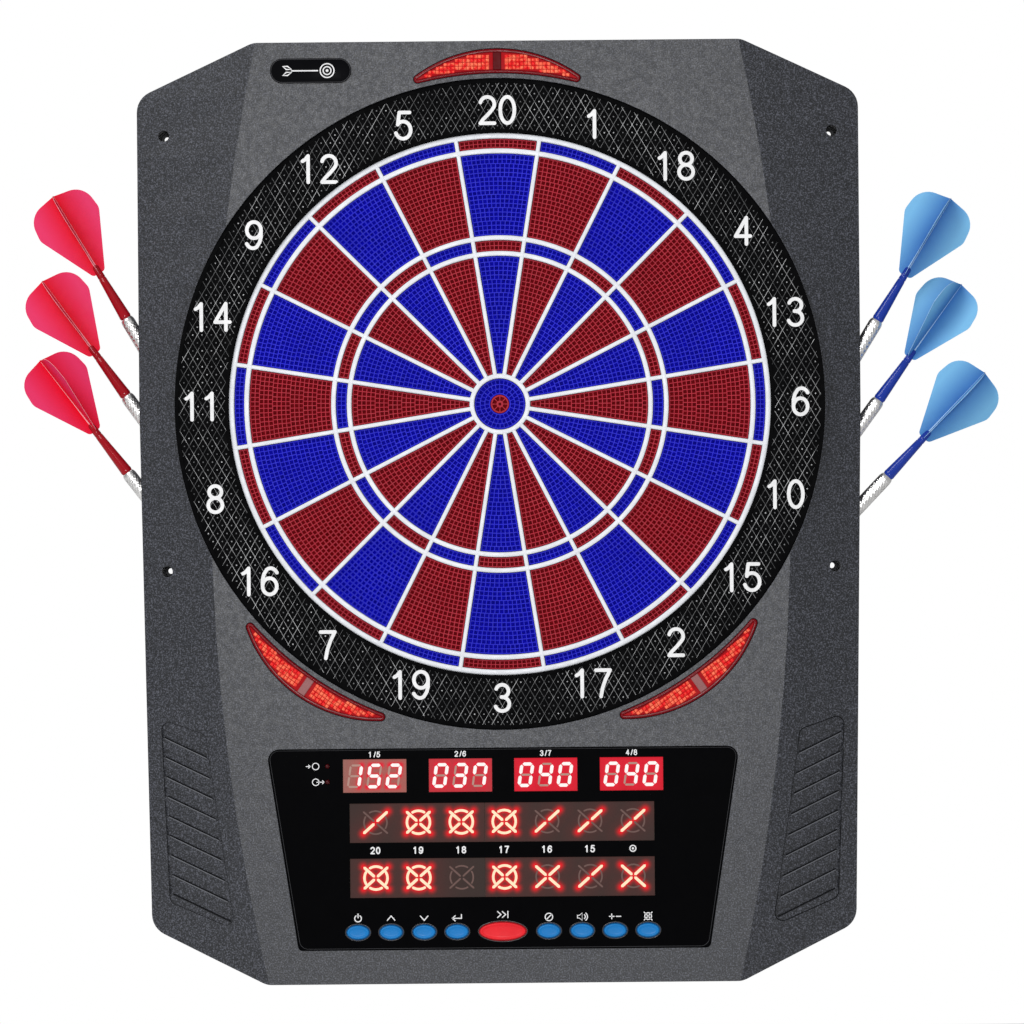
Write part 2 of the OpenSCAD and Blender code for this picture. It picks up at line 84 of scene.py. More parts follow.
class Build:
    """Gathers the points and faces of one piece."""

    def __init__(self):
        self.points = []
        self.faces = []
        self.paints = []
        self.values = {}

    def add(self, points):
        first = len(self.points)
        self.points.extend(points)
        return list(range(first, len(self.points)))

    def face(self, ids, paint=0):
        self.faces.append(list(ids))
        self.paints.append(paint)

    def band(self, a, b, paint=0, closed=True):
        """Quads between two rows of points of one length."""
        count = len(a)
        for i in range(count if closed else count - 1):
            j = (i + 1) % count
            self.face([a[i], a[j], b[j], b[i]], paint)

    def zip_loops(self, a, b, paint=0):
        """Triangles between two closed loops whose lengths differ."""
        i = j = 0
        while i < len(a) or j < len(b):
            if j == len(b) or (i < len(a) and (i + 1) * len(b) <= (j + 1) * len(a)):
                self.face([a[i], a[(i + 1) % len(a)], b[j % len(b)]], paint)
                i += 1
            else:
                self.face([b[j], a[i % len(a)], b[(j + 1) % len(b)]], paint)
                j += 1

    def loft(self, rings, paint=0, caps=True):
        """A closed solid through outlines of one length, each with its depth."""
        rows = [self.add([(x, d, z) for x, z in outline]) for outline, d in rings]
        for a, b in zip(rows, rows[1:]):
            self.band(a, b, paint)
        if caps:
            self.face(rows[0][::-1], paint)
            self.face(rows[-1], paint)
        return rows

    def lathe(self, profile, steps, paint=0):
        """A ring round the bullseye with a closed profile of (radius, depth)."""
        rows = []
        for k in range(steps):
            a = 2 * math.pi * k / steps
            rows.append(self.add([(r * math.sin(a), d, r * math.cos(a)) for r, d in profile]))
        for k in range(steps):
            self.band(rows[k], rows[(k + 1) % steps], paint)


def piece(name, build, looks, body, replaces=(), angle=35, matrix=None):
    """Makes the piece, and rides it on its body."""
    mesh = bpy.data.meshes.new(name)
    if matrix is None:
        mesh.from_pydata([(x * MM, -d * MM, z * MM) for x, d, z in build.points], [], build.faces)
    else:
        mesh.from_pydata([matrix @ Vector(p) * MM for p in build.points], [], build.faces)
    mesh.polygons.foreach_set("material_index", build.paints)
    shell = bmesh.new()
    shell.from_mesh(mesh)
    bmesh.ops.recalc_face_normals(shell, faces=shell.faces)
    shell.to_mesh(mesh)
    shell.free()
    for key, values in build.values.items():
        kind = "FLOAT_COLOR" if hasattr(values[0], "__len__") else "FLOAT"
        attribute = mesh.attributes.new(key, kind, "POINT")
        flat = np.array(values, np.float32).ravel()
        attribute.data.foreach_set("color" if kind == "FLOAT_COLOR" else "value", flat)
    mesh.shade_smooth()
    mesh.set_sharp_from_angle(angle=math.radians(angle))
    for look in looks:
        mesh.materials.append(look.material)
    made = bpy.data.objects.new(name, mesh)
    bpy.context.scene.collection.objects.link(made)
    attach(made, body)
    if replaces:
        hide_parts(*replaces)
    return made


# ------------------------------------------------------------------ materials


class Look:
    """A material whose Principled shader takes its detail from nodes."""

    def __init__(self, name, colour, roughness, **sockets):
        self.material = bpy.data.materials.new(name)
        self.material.use_nodes = True
        self.tree = self.material.node_tree
        self.shader = self.tree.nodes["Principled BSDF"]
        self.colour = (*colour, 1.0)
        self.normal = None
        self.set("Base Color", self.colour)
        self.set("Roughness", roughness)
        for socket, value in sockets.items():
            self.set(socket.replace("_", " "), value)
        self.place = self.node("TexCoord").outputs["Object"]

    def set(self, socket, value):
        self.put(value, self.shader.inputs[socket])

    def put(self, value, socket):
        if isinstance(value, bpy.types.NodeSocket):
            self.tree.links.new(value, socket)
        else:
            socket.default_value = value

    def node(self, kind, **inputs):
        made = self.tree.nodes.new("ShaderNode" + kind)
        for socket, value in inputs.items():
            self.put(value, made.inputs[socket.replace("_", " ")])
        return made

    def noise(self, size, detail=2.0, stretch=None):
        """Noise whose grains are about size millimetres across."""
        place = self.place
        if stretch:
            place = self.node("Mapping", Vector=place, Scale=stretch).outputs[0]
        return self.node("TexNoise", Vector=place, Scale=1 / (size * MM), Detail=detail).outputs[0]

    def span(self, value, low, high, a=0.0, b=1.0):
        made = self.node("MapRange", Value=value)
        for socket, number in zip(("From Min", "From Max", "To Min", "To Max"), (low, high, a, b)):
            made.inputs[socket].default_value = number
        return made.outputs[0]

    def mix(self, share, a, b):
        made = self.tree.nodes.new("ShaderNodeMix")
        made.data_type = "RGBA"
        for value, index in ((share, 0), (a, 6), (b, 7)):
            if isinstance(value, tuple) and len(value) == 3:
                value = (*value, 1.0)
            self.put(value, made.inputs[index])
        return made.outputs[2]

    def bump(self, height, distance, strength=1.0):
        made = self.node("Bump", Height=height, Distance=distance * MM, Strength=strength)
        if self.normal:
            self.put(self.normal, made.inputs["Normal"])
        self.normal = made.outputs[0]
        self.set("Normal", self.normal)
        return self

    def edges(self, radius, pale, share=0.5):
        """Rounds the edges, and paints them a paler colour: partly edge wear, partly a painted highlight along the
        rounded edge.
        """
        made = self.node("Bevel", Radius=radius * MM)
        made.samples = 4
        self.normal = made.outputs[0]
        flat = self.node("NewGeometry").outputs["Normal"]
        dot = self.node("VectorMath")
        dot.operation = "DOT_PRODUCT"
        self.put(made.outputs[0], dot.inputs[0])
        self.put(flat, dot.inputs[1])
        worn = self.span(dot.outputs["Value"], 0.985, 0.8, 0.0, share)
        patchy = self.node("Math")
        patchy.operation = "MULTIPLY"
        self.put(worn, patchy.inputs[0])
        self.put(self.span(self.noise(9, 3), 0.35, 0.6, 0.3, 1.0), patchy.inputs[1])
        self.worn, self.pale = patchy.outputs[0], pale
        return self

    def shade(self, colour):
        """Sets the base colour, with any paler edge over it: edge wear and painted edge highlight."""
        if hasattr(self, "worn"):
            colour = self.mix(self.worn, colour, self.pale)
        self.set("Base Color", colour)
        return self

    def rough(self, low, high, size=6.0):
        self.set("Roughness", self.span(self.noise(size, 3), 0.35, 0.65, low, high))
        return self


def darker(colour, share):
    return tuple(c * share for c in colour)


def moulded(name, colour, roughness, grain=0.5, bump=0.02, edge_wear_and_highlight=None, radius=0.3, **sockets):
    """Moulded plastic: fine grain, uneven gloss, and faint colour drift, with paler edges when given: partly edge wear,
    partly a painted highlight.
    """
    look = Look(name, colour, roughness, **sockets)
    if edge_wear_and_highlight:
        look.edges(radius, edge_wear_and_highlight, 0.5)
    look.shade(look.mix(look.span(look.noise(14, 4), 0.3, 0.7), darker(colour, 0.88), colour))
    look.bump(look.noise(grain, 2), bump)
    return look.rough(roughness * 0.8, min(1.0, roughness * 1.25))


def pebbled(name, colour, speck, roughness):
    """Charcoal case plastic with a coarse moulded grain, light specks, and paler edges: partly edge wear, partly a
    painted highlight.
    """
    look = Look(name, colour, roughness)
    look.edges(0.5, (0.16, 0.165, 0.18), 0.5)
    grain = look.noise(0.9, 2)
    drift = look.span(look.noise(90, 2), 0.35, 0.65, 0.0, 0.2)
    body = look.mix(drift, colour, darker(colour, 0.7))
    body = look.mix(look.span(grain, 0.50, 0.68, 0.0, 0.9), body, speck)
    body = look.mix(look.span(grain, 0.50, 0.36, 0.0, 0.8), body, darker(colour, 0.25))
    look.shade(body)
    look.bump(grain, 0.055)
    return look.rough(roughness - 0.05, roughness + 0.05, 3.0)


WHITE = (0.80, 0.82, 0.87)
RED = (0.44, 0.024, 0.042)
BLUE = (0.022, 0.024, 0.62)

case_look = pebbled("case_charcoal", (0.018, 0.020, 0.026), (0.10, 0.105, 0.13), 0.40)
cover_look = pebbled("cover_charcoal", (0.022, 0.023, 0.027), (0.05, 0.05, 0.06), 0.6)
ring_look = moulded("ring_black", (0.0028, 0.0028, 0.0032), 0.4, 0.8, 0.002,
                    (0.012, 0.012, 0.012), Specular_IOR_Level=0.008)
panel_look = moulded("panel_gloss_black", (0.0022, 0.0022, 0.0026), 0.3, 3.0, 0.001,
                     (0.008, 0.008, 0.008), Specular_IOR_Level=0.004)
badge_look = moulded("badge_black", (0.004, 0.004, 0.005), 0.3, 3.0, 0.002,
                     (0.008, 0.008, 0.008), Specular_IOR_Level=0.01)
spider_look = moulded("spider_white", WHITE, 0.38, 0.6, 0.012, (0.88, 0.89, 0.92))
print_look = moulded("print_white", (0.86, 0.86, 0.87), 0.42, 0.25, 0.008)
# Grey bead colour: a painted highlight along the edges of black parts.
rim_highlight_look = moulded("rim_painted_highlight_grey", (0.05, 0.05, 0.055), 0.4, 0.4, 0.005, Specular_IOR_Level=0.1)


def target_look(name, colour, dark):
    """Target plastic: lighter web between the holes, and a darker colour inside them as painted shade."""
    look = Look(name, colour, 0.45, Specular_IOR_Level=0.08)
    look.shade(look.mix(look.span(look.noise(22, 3), 0.35, 0.65), darker(colour, 0.85), colour))
    look.bump(look.noise(0.4, 2), 0.004)
    hole_shade = Look(name + "_hole_painted_shade", dark, 0.6, Specular_IOR_Level=0.05)
    hole_shade.shade(hole_shade.mix(hole_shade.span(hole_shade.noise(2.2, 2), 0.3, 0.7), darker(dark, 0.5), dark))
    hole_shade.bump(hole_shade.noise(0.3, 1), 0.01)
    return [look.rough(0.38, 0.55, 4.0), hole_shade]


# The third colour in each call is painted shade for the hole walls and floors.
red_looks = target_look("target_red_plastic", RED, (0.32, 0.002, 0.008))
blue_looks = target_look("target_blue_plastic", BLUE, (0.003, 0.003, 0.66))


def attribute_look(name, key, roughness, emission=1.0, base=0.008, **sockets):
    """A lit face that takes its glow from the mesh's own colours."""
    look = Look(name, (base, base, base), roughness, **sockets)
    colour = look.node("Attribute")
    colour.attribute_name = key
    grain = look.span(look.noise(0.7, 2), 0.3, 0.7, 0.0, 0.16)
    glow = look.mix(grain, colour.outputs["Color"], (0.004, 0.002, 0.002))
    look.set("Base Color", look.mix(0.85, glow, (base, base, base)))
    look.set("Emission Color", glow)
    look.set("Emission Strength", emission)
    return look.bump(look.noise(0.9, 2), 0.002)


score_look = attribute_look("score_face", "shade", 0.4, Specular_IOR_Level=0.03)
cricket_look = attribute_look("cricket_face", "shade", 0.4, Specular_IOR_Level=0.03)


def lamp_look(name, colour, strength, roughness=0.4):
    look = Look(name, darker(colour, 0.1), roughness, Emission_Strength=strength, Specular_IOR_Level=0.05)
    uneven = look.span(look.noise(1.6, 2), 0.3, 0.7)
    look.set("Emission Color", look.mix(uneven, darker(colour, 0.88), colour))
    return look.bump(look.noise(0.5, 1), 0.003)


digit_look = lamp_look("digit_lit", (1.0, 0.93, 0.90), 1.0)
mark_look = lamp_look("mark_lit", (1.0, 0.80, 0.55), 1.0)
# Unlit segments and marks are given a faint glow of their own: painted light, as these parts are not lit.
ghost_look = lamp_look("digit_unlit_painted_glow", (0.50, 0.30, 0.25), 0.85)
dim_look = lamp_look("mark_unlit_painted_glow", (0.15, 0.09, 0.08), 1.0)

lens_look = moulded("lens_rim_red", (0.17, 0.002, 0.006), 0.22, 1.2, 0.004, Specular_IOR_Level=0.12)
floor_look = moulded("lens_floor_red", (0.40, 0.004, 0.008), 0.4, 0.8, 0.01, Specular_IOR_Level=0.05)
# The prisms are painted with patches of paler orange as painted glints.
prism_look = Look("lens_prism", (0.85, 0.07, 0.04), 0.3, Specular_IOR_Level=0.15)
prism_painted_glint = prism_look.span(prism_look.noise(3.2, 2), 0.42, 0.62)
prism_look.shade(prism_look.mix(prism_painted_glint, (0.85, 0.012, 0.014), (1.0, 0.20, 0.10)))
prism_look.bump(prism_look.noise(0.6, 1), 0.01)
bar_dark_look = moulded("lens_bar_dark", (0.10, 0.002, 0.004), 0.3, 0.8, 0.01, Specular_IOR_Level=0.05)
bar_pale_look = moulded("lens_bar_pale", (0.30, 0.12, 0.12), 0.3, 0.8, 0.01, Specular_IOR_Level=0.1)
led_look = moulded("led_dark_red", (0.05, 0.001, 0.003), 0.2, 0.8, 0.002, Specular_IOR_Level=0.2)
# Each button's last colour is its paler edge: partly edge wear, partly a painted highlight round its rim.
button_looks = {
    "blue": moulded("button_blue", (0.008, 0.20, 0.56), 0.35, 0.45, 0.006, (0.06, 0.32, 0.8),
                    Specular_IOR_Level=0.15),
    "red": moulded("button_red", (0.86, 0.020, 0.030), 0.35, 0.45, 0.006, (0.95, 0.15, 0.15),
                   Specular_IOR_Level=0.12)}


def metal(name, colour, roughness, scratch=0.02):
    look = Look(name, colour, roughness, Metallic=1.0)
    look.shade(look.mix(look.span(look.noise(3, 4), 0.3, 0.7), darker(colour, 0.75), colour))
    look.bump(look.noise(0.5, 2, (1, 1, 12)), scratch)
    return look.rough(roughness * 0.7, roughness * 1.4, 2.0)


steel_look = metal("screw_steel_look", (0.50, 0.50, 0.52), 0.34)
barrel_look = metal("barrel_bright", (0.95, 0.94, 0.93), 0.30, 0.006)
groove_look = metal("barrel_groove", (0.16, 0.15, 0.15), 0.4, 0.006)
tip_look = moulded("tip_black", (0.02, 0.02, 0.02), 0.4, 0.4, 0.01)


def flight_look(name, inner, outer):
    """Thin flight film, clearer towards its edge."""
    look = Look(name, inner, 0.4, Specular_IOR_Level=0.06)
    reach = look.node("Attribute")
    reach.attribute_name = "reach"
    share = look.span(reach.outputs["Fac"], 0.05, 0.85)
    cloudy = look.mix(look.span(look.noise(18, 3), 0.35, 0.65, 0.0, 0.08), inner, outer)
    look.shade(look.mix(share, cloudy, outer))
    look.bump(look.noise(1.0, 2), 0.004)
    return look.rough(0.35, 0.45, 5.0)


dart_looks = {
    # The second look of each dart is a pale colour for the flight's spine and wing edges: a painted highlight.
    -1: [flight_look("flight_film_red", (0.72, 0.002, 0.016), (0.76, 0.040, 0.14)),
         moulded("flight_edge_highlight_pink", (0.90, 0.36, 0.42), 0.4, 0.5, 0.005),
         moulded("shaft_red", (0.34, 0.003, 0.010), 0.16, 1.5, 0.002, Specular_IOR_Level=0.25)],
    1: [flight_look("flight_film_blue", (0.045, 0.18, 0.50), (0.20, 0.50, 0.80)),
        moulded("flight_edge_highlight_sky", (0.40, 0.62, 0.90), 0.4, 0.5, 0.005),
        moulded("shaft_blue", (0.012, 0.040, 0.34), 0.16, 1.5, 0.002, Specular_IOR_Level=0.25)]}


def board_look():
    """Circuit board: green lacquer over tracks."""
    look = Look("board_lacquer", (0.01, 0.10, 0.035), 0.3, Coat_Weight=0.4)
    tracks = look.node("TexBrick", Vector=look.place, Scale=170.0)
    tracks.inputs["Mortar Size"].default_value = 0.03
    look.shade(look.mix(look.span(tracks.outputs["Fac"], 0, 1), (0.01, 0.09, 0.03), (0.03, 0.20, 0.07)))
    look.bump(tracks.outputs["Fac"], 0.04)
    return look.rough(0.25, 0.4)


def striped_look(name, a, b, width):
    look = Look(name, a, 0.5)
    wave = look.node("TexWave", Vector=look.place, Scale=0.314 / (width * MM))
    look.shade(look.mix(look.span(wave.outputs["Fac"], 0.35, 0.65), a, b))
    look.bump(wave.outputs["Fac"], 0.1)
    return look


inner_looks = {
    "light_boards": board_look(), "main_board": board_look(),
    "keypad_mat": moulded("silicone_grey", (0.50, 0.50, 0.47), 0.6, 0.6, 0.02),
    "ribbon_cable": striped_look("ribbon_grey", (0.55, 0.55, 0.52), (0.38, 0.38, 0.37), 1.27),
    "speaker": metal("speaker_frame", (0.22, 0.22, 0.23), 0.45),
    "power_jack": moulded("jack_black", (0.012, 0.012, 0.013), 0.35, 0.5, 0.01, (0.05, 0.05, 0.05)),
    "rubber_mat": moulded("mat_rubber_look", (0.020, 0.020, 0.022), 0.8, 1.2, 0.08),
    "switch_matrix": striped_look("film_tracks", (0.55, 0.60, 0.57), (0.42, 0.44, 0.46), 2.5),
    "backing_plate": moulded("backing_grey", (0.24, 0.25, 0.27), 0.5, 0.9, 0.04, (0.4, 0.4, 0.42)),
    "dart_holders": moulded("holder_black", (0.035, 0.036, 0.04), 0.5, 0.7, 0.03, (0.1, 0.1, 0.1)),
    "case_screws": steel_look, "board_screws": steel_look,
    "front_frame": case_look, "rear_cover": cover_look, "catch_ring": ring_look,
    "display_panel": panel_look, "badge": badge_look, "indicator_leds": led_look}
for node, look in inner_looks.items():
    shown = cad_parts[node]
    if not shown.material_slots:
        shown.data.materials.append(look.material)
    for holder in shown.material_slots:
        holder.material = look.material

# ------------------------------------------------------------------ strokes


def arc(x, z, rx, rz, start, end, steps=20):
    """Points of an arc; angles are counter-clockwise from the right."""
    return [(x + rx * math.cos(math.radians(start + (end - start) * k / steps)),
             z + rz * math.sin(math.radians(start + (end - start) * k / steps)))
            for k in range(steps + 1)]


def sides_of(points, half, closed):
    """Points to the left and right of a line, mitred at its corners."""
    left, right, count = [], [], len(points)
    for i, here in enumerate(points):
        before = points[i - 1] if i or closed else None
        after = points[(i + 1) % count] if i < count - 1 or closed else None
        ways = []
        for a, b in ((before, here), (here, after)):
            if a is not None and b is not None:
                length = math.hypot(b[0] - a[0], b[1] - a[1])
                ways.append(((b[0] - a[0]) / length, (b[1] - a[1]) / length))
        normals = [(-w[1], w[0]) for w in ways]
        nx, nz = sum(n[0] for n in normals) / len(ways), sum(n[1] for n in normals) / len(ways)
        reach = half / max(0.35, nx * nx + nz * nz)
        left.append((here[0] + nx * reach, here[1] + nz * reach))
        right.append((here[0] - nx * reach, here[1] - nz * reach))
    return left, right


def stroke(build, points, width, low, high, closed=False, paint=0):
    """A raised stroke with round ends, from depth low to depth high."""
    half = width / 2
    left, right = sides_of(points, half, closed)
    if closed:
        rows = [build.add([(x, d, z) for x, z in side])
                for side, d in ((left, low), (left, high), (right, high), (right, low))]
        for i in range(4):
            build.band(rows[i], rows[(i + 1) % 4], paint)
        return
    def cap(centre, towards):
        start = math.degrees(math.atan2(towards[1] - centre[1], towards[0] - centre[0]))
        return arc(centre[0], centre[1], half, half, start, start - 180, 8)[1:-1]
    outline = left + cap(points[-1], left[-1]) + right[::-1] + cap(points[0], right[0])
    count, ends = len(points), 7
    for d, way in ((low, 1), (high, -1)):
        ids = build.add([(x, d, z) for x, z in outline])
        a, end = ids[:count], ids[count:count + ends]
        b, start = ids[count + ends:2 * count + ends][::-1], ids[2 * count + ends:]
        build.band(a, b, paint, closed=False)
        build.face([a[-1], *end, b[-1]], paint)
        build.face([b[0], *start, a[0]], paint)
        if d == low:
            first = ids
    build.band(first, ids, paint)


def bowl(z, rz, start, end, steps=20):
    return arc(0.27, z, 0.27, rz, start, end, steps)


GLYPHS = {
    "0": [("loop", arc(0.27, 0.5, 0.27, 0.5, 0, 345, 23))],
    "1": [("line", [(0.02, 0.80), (0.12, 0.86), (0.235, 1.0)]), ("line", [(0.235, 1.0), (0.235, 0.0)])],
    "2": [("line", bowl(0.72, 0.28, 165, -20, 14) + [(0.44, 0.50), (0.30, 0.34), (0.10, 0.14), (0.0, 0.0)]),
          ("line", [(0.0, 0.0), (0.54, 0.0)])],
    "3": [("line", arc(0.27, 0.76, 0.24, 0.24, 160, -75, 14) + [(0.24, 0.535)]),
          ("line", [(0.24, 0.53)] + arc(0.27, 0.265, 0.27, 0.265, 75, -160, 16))],
    "4": [("line", [(0.41, 1.0), (0.0, 0.30)]), ("line", [(0.0, 0.30), (0.56, 0.30)]),
          ("line", [(0.41, 1.0), (0.41, 0.0)])],
    "5": [("line", [(0.50, 1.0), (0.11, 1.0)]), ("line", [(0.11, 1.0), (0.05, 0.54)]),
          ("line", [(0.05, 0.54)] + arc(0.25, 0.33, 0.29, 0.33, 125, -160, 16))],
    "6": [("loop", arc(0.27, 0.31, 0.27, 0.31, 0, 345, 23)),
          ("line", arc(0.31, 0.60, 0.29, 0.40, 35, 120, 8) + [(0.06, 0.78), (0.005, 0.58), (0.0, 0.33)])],
    "7": [("line", [(0.0, 1.0), (0.54, 1.0)]), ("line", [(0.54, 1.0), (0.37, 0.66), (0.25, 0.32), (0.19, 0.0)])],
    "8": [("loop", arc(0.27, 0.77, 0.235, 0.23, 0, 345, 23)),
          ("loop", arc(0.27, 0.27, 0.27, 0.27, 0, 345, 23))],
    "9": [("loop", arc(0.27, 0.69, 0.27, 0.31, 0, 345, 23)),
          ("line", [(0.54, 0.67), (0.535, 0.42), (0.48, 0.22)] + arc(0.23, 0.40, 0.29, 0.40, -60, -145, 8))],
    "/": [("line", [(0.0, 0.0), (0.30, 1.0)])]}


def write(build, text, x, z, height, width, low, high, advance=0.80):
    """Digits centred on (x, z); height is the whole height, width the stroke's."""
    tall = height - width
    at, marks, spread = 0.0, [], []
    for sign in text:
        for kind, points in GLYPHS[sign]:
            moved = [((at + px) * tall, (pz - 0.5) * tall) for px, pz in points]
            marks.append((kind, moved))
            spread += [p[0] for p in moved]
        at += advance * (0.62 if sign == "/" else 1.0)
    middle = (min(spread) + max(spread)) / 2
    for k, (kind, points) in enumerate(marks):
        placed = [(x + px - middle, z + pz) for px, pz in points]
        stroke(build, placed, width, low, high + 0.006 * (k % 3), closed=kind == "loop")


# ------------------------------------------------------------------ number ring

RING_IN, RING_OUT = 174.7, 204.0
LATTICE_W, LATTICE_H = 5.9, 10.1
lattice, painted_glint = Build(), []


def ridge(a, b, half=0.2, low=RING_FACE - 0.1, high=RING_FACE + 0.22):
    """A fine three-sided ridge from a to b."""
    length = math.hypot(b[0] - a[0], b[1] - a[1])
    nx, nz = -(b[1] - a[1]) / length * half, (b[0] - a[0]) / length * half
    ends = [lattice.add([(p[0] + nx, low, p[1] + nz), (p[0], high, p[1]), (p[0] - nx, low, p[1] - nz)])
            for p in (a, b)]
    lattice.band(ends[0], ends[1])
    lattice.face(ends[0])
    lattice.face(ends[1][::-1])
    # A random strength for this ridge's painted glint.
    painted_glint.extend([random.random()] * 6)


steps = int(RING_OUT / LATTICE_W + RING_OUT / LATTICE_H) + 2
size = math.hypot(LATTICE_W, LATTICE_H)
for way in (1, -1):
    along = (LATTICE_W / size, -way * LATTICE_H / size)
    across = (LATTICE_H / size, way * LATTICE_W / size)
    gap = LATTICE_W * LATTICE_H / size
    for i in range(-steps, steps + 1):
        off = i * gap
        if abs(off) > RING_OUT - 2:
            continue
        far = math.sqrt(RING_OUT ** 2 - off ** 2)
        near = math.sqrt(RING_IN ** 2 - off ** 2) if abs(off) < RING_IN else 0
        for s0, s1 in (((-far, -near), (near, far)) if near else ((-far, far),)):
            ridge(*[(across[0] * off + along[0] * s, across[1] * off + along[1] * s) for s in (s0, s1)])
for i in range(-steps, steps + 1):
    for j in range(-steps, steps + 1):
        x, z = LATTICE_W * (i + j + 1) / 2, LATTICE_H * (i - j) / 2
        if RING_IN + 0.8 < math.hypot(x, z) < RING_OUT - 0.8:
            octagon = [[(x + px, z + pz) for px, pz in arc(0, 0, r, r, 0, 315, 7)] for r in (0.5, 0.42, 0.2)]
            lattice.loft([(octagon[0], RING_FACE - 0.1), (octagon[1], RING_FACE + 0.12),
                          (octagon[2], RING_FACE + 0.2)])
            # A strength for this dot's painted glint.
            painted_glint.extend([random.choice((0.1, 0.2, 0.6))] * 24)
lattice.values["painted_glint"] = painted_glint
# The ridges and dots are coloured from near-black to pale grey by their glint strengths and by noise patches: painted
# glints of light caught on the ring's fine ridges.
lattice_look = Look("lattice_ridges_painted_glints", (0.2, 0.2, 0.2), 0.4, Specular_IOR_Level=0.05)
attribute = lattice_look.node("Attribute")
attribute.attribute_name = "painted_glint"
glint_patches = lattice_look.span(lattice_look.noise(9, 3), 0.42, 0.62)
glint = lattice_look.node("Math")
glint.operation = "MULTIPLY"
lattice_look.put(lattice_look.span(attribute.outputs["Fac"], 0.1, 0.95, 0.2, 1.0), glint.inputs[0])
lattice_look.put(lattice_look.span(glint_patches, 0, 1, 0.2, 1.0), glint.inputs[1])
lattice_look.shade(lattice_look.mix(glint.outputs[0], (0.06, 0.062, 0.066), (0.78, 0.79, 0.80)))
lattice_look.bump(lattice_look.noise(0.5, 1), 0.003)
piece("ring_lattice", lattice, [lattice_look], "case", angle=25)

ORDER = [20, 1, 18, 4, 13, 6, 10, 15, 2, 17, 3, 19, 7, 16, 8, 11, 14, 9, 12, 5]
UPPER_LEAN = 1.1
numerals = Build()
for place, number in enumerate(ORDER):
    a = math.radians(18 * place)
    r = 191.0 - 4.3 * math.cos(a) ** 2
    a += math.radians(UPPER_LEAN) * math.sin(2 * a) * (math.cos(a) > 0)
    write(numerals, str(number), r * math.sin(a), r * math.cos(a), 19.0, 2.3, RING_FACE - 0.1,
          RING_FACE + 0.42, advance=0.76)
piece("numerals", numerals, [print_look], "case", angle=40)

# ------------------------------------------------------------------ spider

WEBS = [(16.3, 19.3), (94.3, 97.3), (104.3, 107.3), (159.4, 162.5), (168.9, 172.3)]
WEB_BACK, WEB_HALF, WEB_ROUND = 28.7, 1.3, 0.65


def web_profile(low, high, back, top, r):
    """Closed profile of a web with rounded front edges."""
    turn = [r * (1 - math.cos(math.radians(t))) for t in (0, 30, 60, 90)]
    rise = [r * math.sin(math.radians(t)) for t in (0, 30, 60, 90)]
    left = [(low + turn[k], top - r + rise[k]) for k in range(4)]
    right = [(high - turn[k], top - r + rise[k]) for k in range(3, -1, -1)]
    return [(low, back), *left, *right, (high, back)]


web = Build()
for low, high in WEBS:
    web.lathe(web_profile(low, high, WEB_BACK, SPIDER_FRONT, WEB_ROUND), 240)
web.lathe([(WEBS[4][1] - 1, WEB_BACK), (WEBS[4][1] - 1, 31), (186, 31), (186, WEB_BACK)], 240)
bar = web_profile(-WEB_HALF, WEB_HALF, WEB_BACK, SPIDER_FRONT - 0.02, WEB_ROUND)
for place in range(20):
    a = math.radians(18 * place + 9)
    ends = [web.add([(r * math.sin(a) + w * math.cos(a), d, r * math.cos(a) - w * math.sin(a))
                     for w, d in bar]) for r in (WEBS[0][1] - 0.8, WEBS[4][1] - 0.8)]
    web.band(ends[0], ends[1])
    web.face(ends[0])
    web.face(ends[1][::-1])
piece("spider_webs", web, [spider_look], "case", ["spider"], angle=50)

# ------------------------------------------------------------------ target segments

HOLE_DEPTH = 2.0
MARGIN = 0.10


def tips(build, rows, columns, at, wrap=False):
    """Rows of square tip holes over the unit square, which at() lays on the face.

    It returns the ids of the row edges, each as a dict by position along the row."""
    edges = []
    for j in range(rows + 1):
        places = {round(i / columns[k], 6) for k in (j - 1, j) if 0 <= k < rows
                  for i in range(columns[k] + 1)}
        if wrap:
            if j in (0, rows):
                fine = columns[min(j, rows - 1)] * 4
                places |= {round(i / fine, 6) for i in range(fine)}
            places.discard(1.0)
        order = sorted(places)
        ids = build.add([(*at(u, j / rows, 0), SEGMENT_FRONT) for u in order])
        edges.append(dict(zip(order, ids)))

    def along(j, u0, u1):
        found = [i for u, i in edges[j].items() if u0 - 1e-5 < u < u1 + 1e-5]
        if wrap and u1 > 1 - 1e-5:
            found.append(edges[j][0.0])
        return found

    for j in range(rows):
        count = columns[j]
        dv = 1 / rows
        for i in range(count):
            u0, u1, du = i / count, (i + 1) / count, 1 / count
            rim, floor = [], []
            for share, d, made in ((MARGIN, SEGMENT_FRONT, rim),
                                   (MARGIN + 0.05, SEGMENT_FRONT - HOLE_DEPTH, floor)):
                corners = [(u0 + du * p, (j + q) * dv) for p, q in
                           ((share, share), (1 - share, share), (1 - share, 1 - share), (share, 1 - share))]
                made += build.add([(*at(u, v, 0), d) for u, v in corners])
            below, above = along(j, u0, u1), along(j + 1, u0, u1)
            build.face([*below, rim[1], rim[0]])
            build.face([below[-1], above[-1], rim[2], rim[1]])
            build.face([*above[::-1], rim[3], rim[2]])
            build.face([above[0], below[0], rim[0], rim[3]])
            build.band(rim, floor, 1)
            build.face(floor, 1)
    return edges


def swap(build):
    """Turns points made as (x, z, depth) into (x, depth, z)."""
    build.points = [(x, d, z) for x, z, d in build.points]


BORDER, CHAMFER, GAP = 0.55, 0.3, 0.3
FACE_BEVEL = [(BORDER - CHAMFER, 0.0), (BORDER - 0.1, 0.1), (BORDER, CHAMFER)]


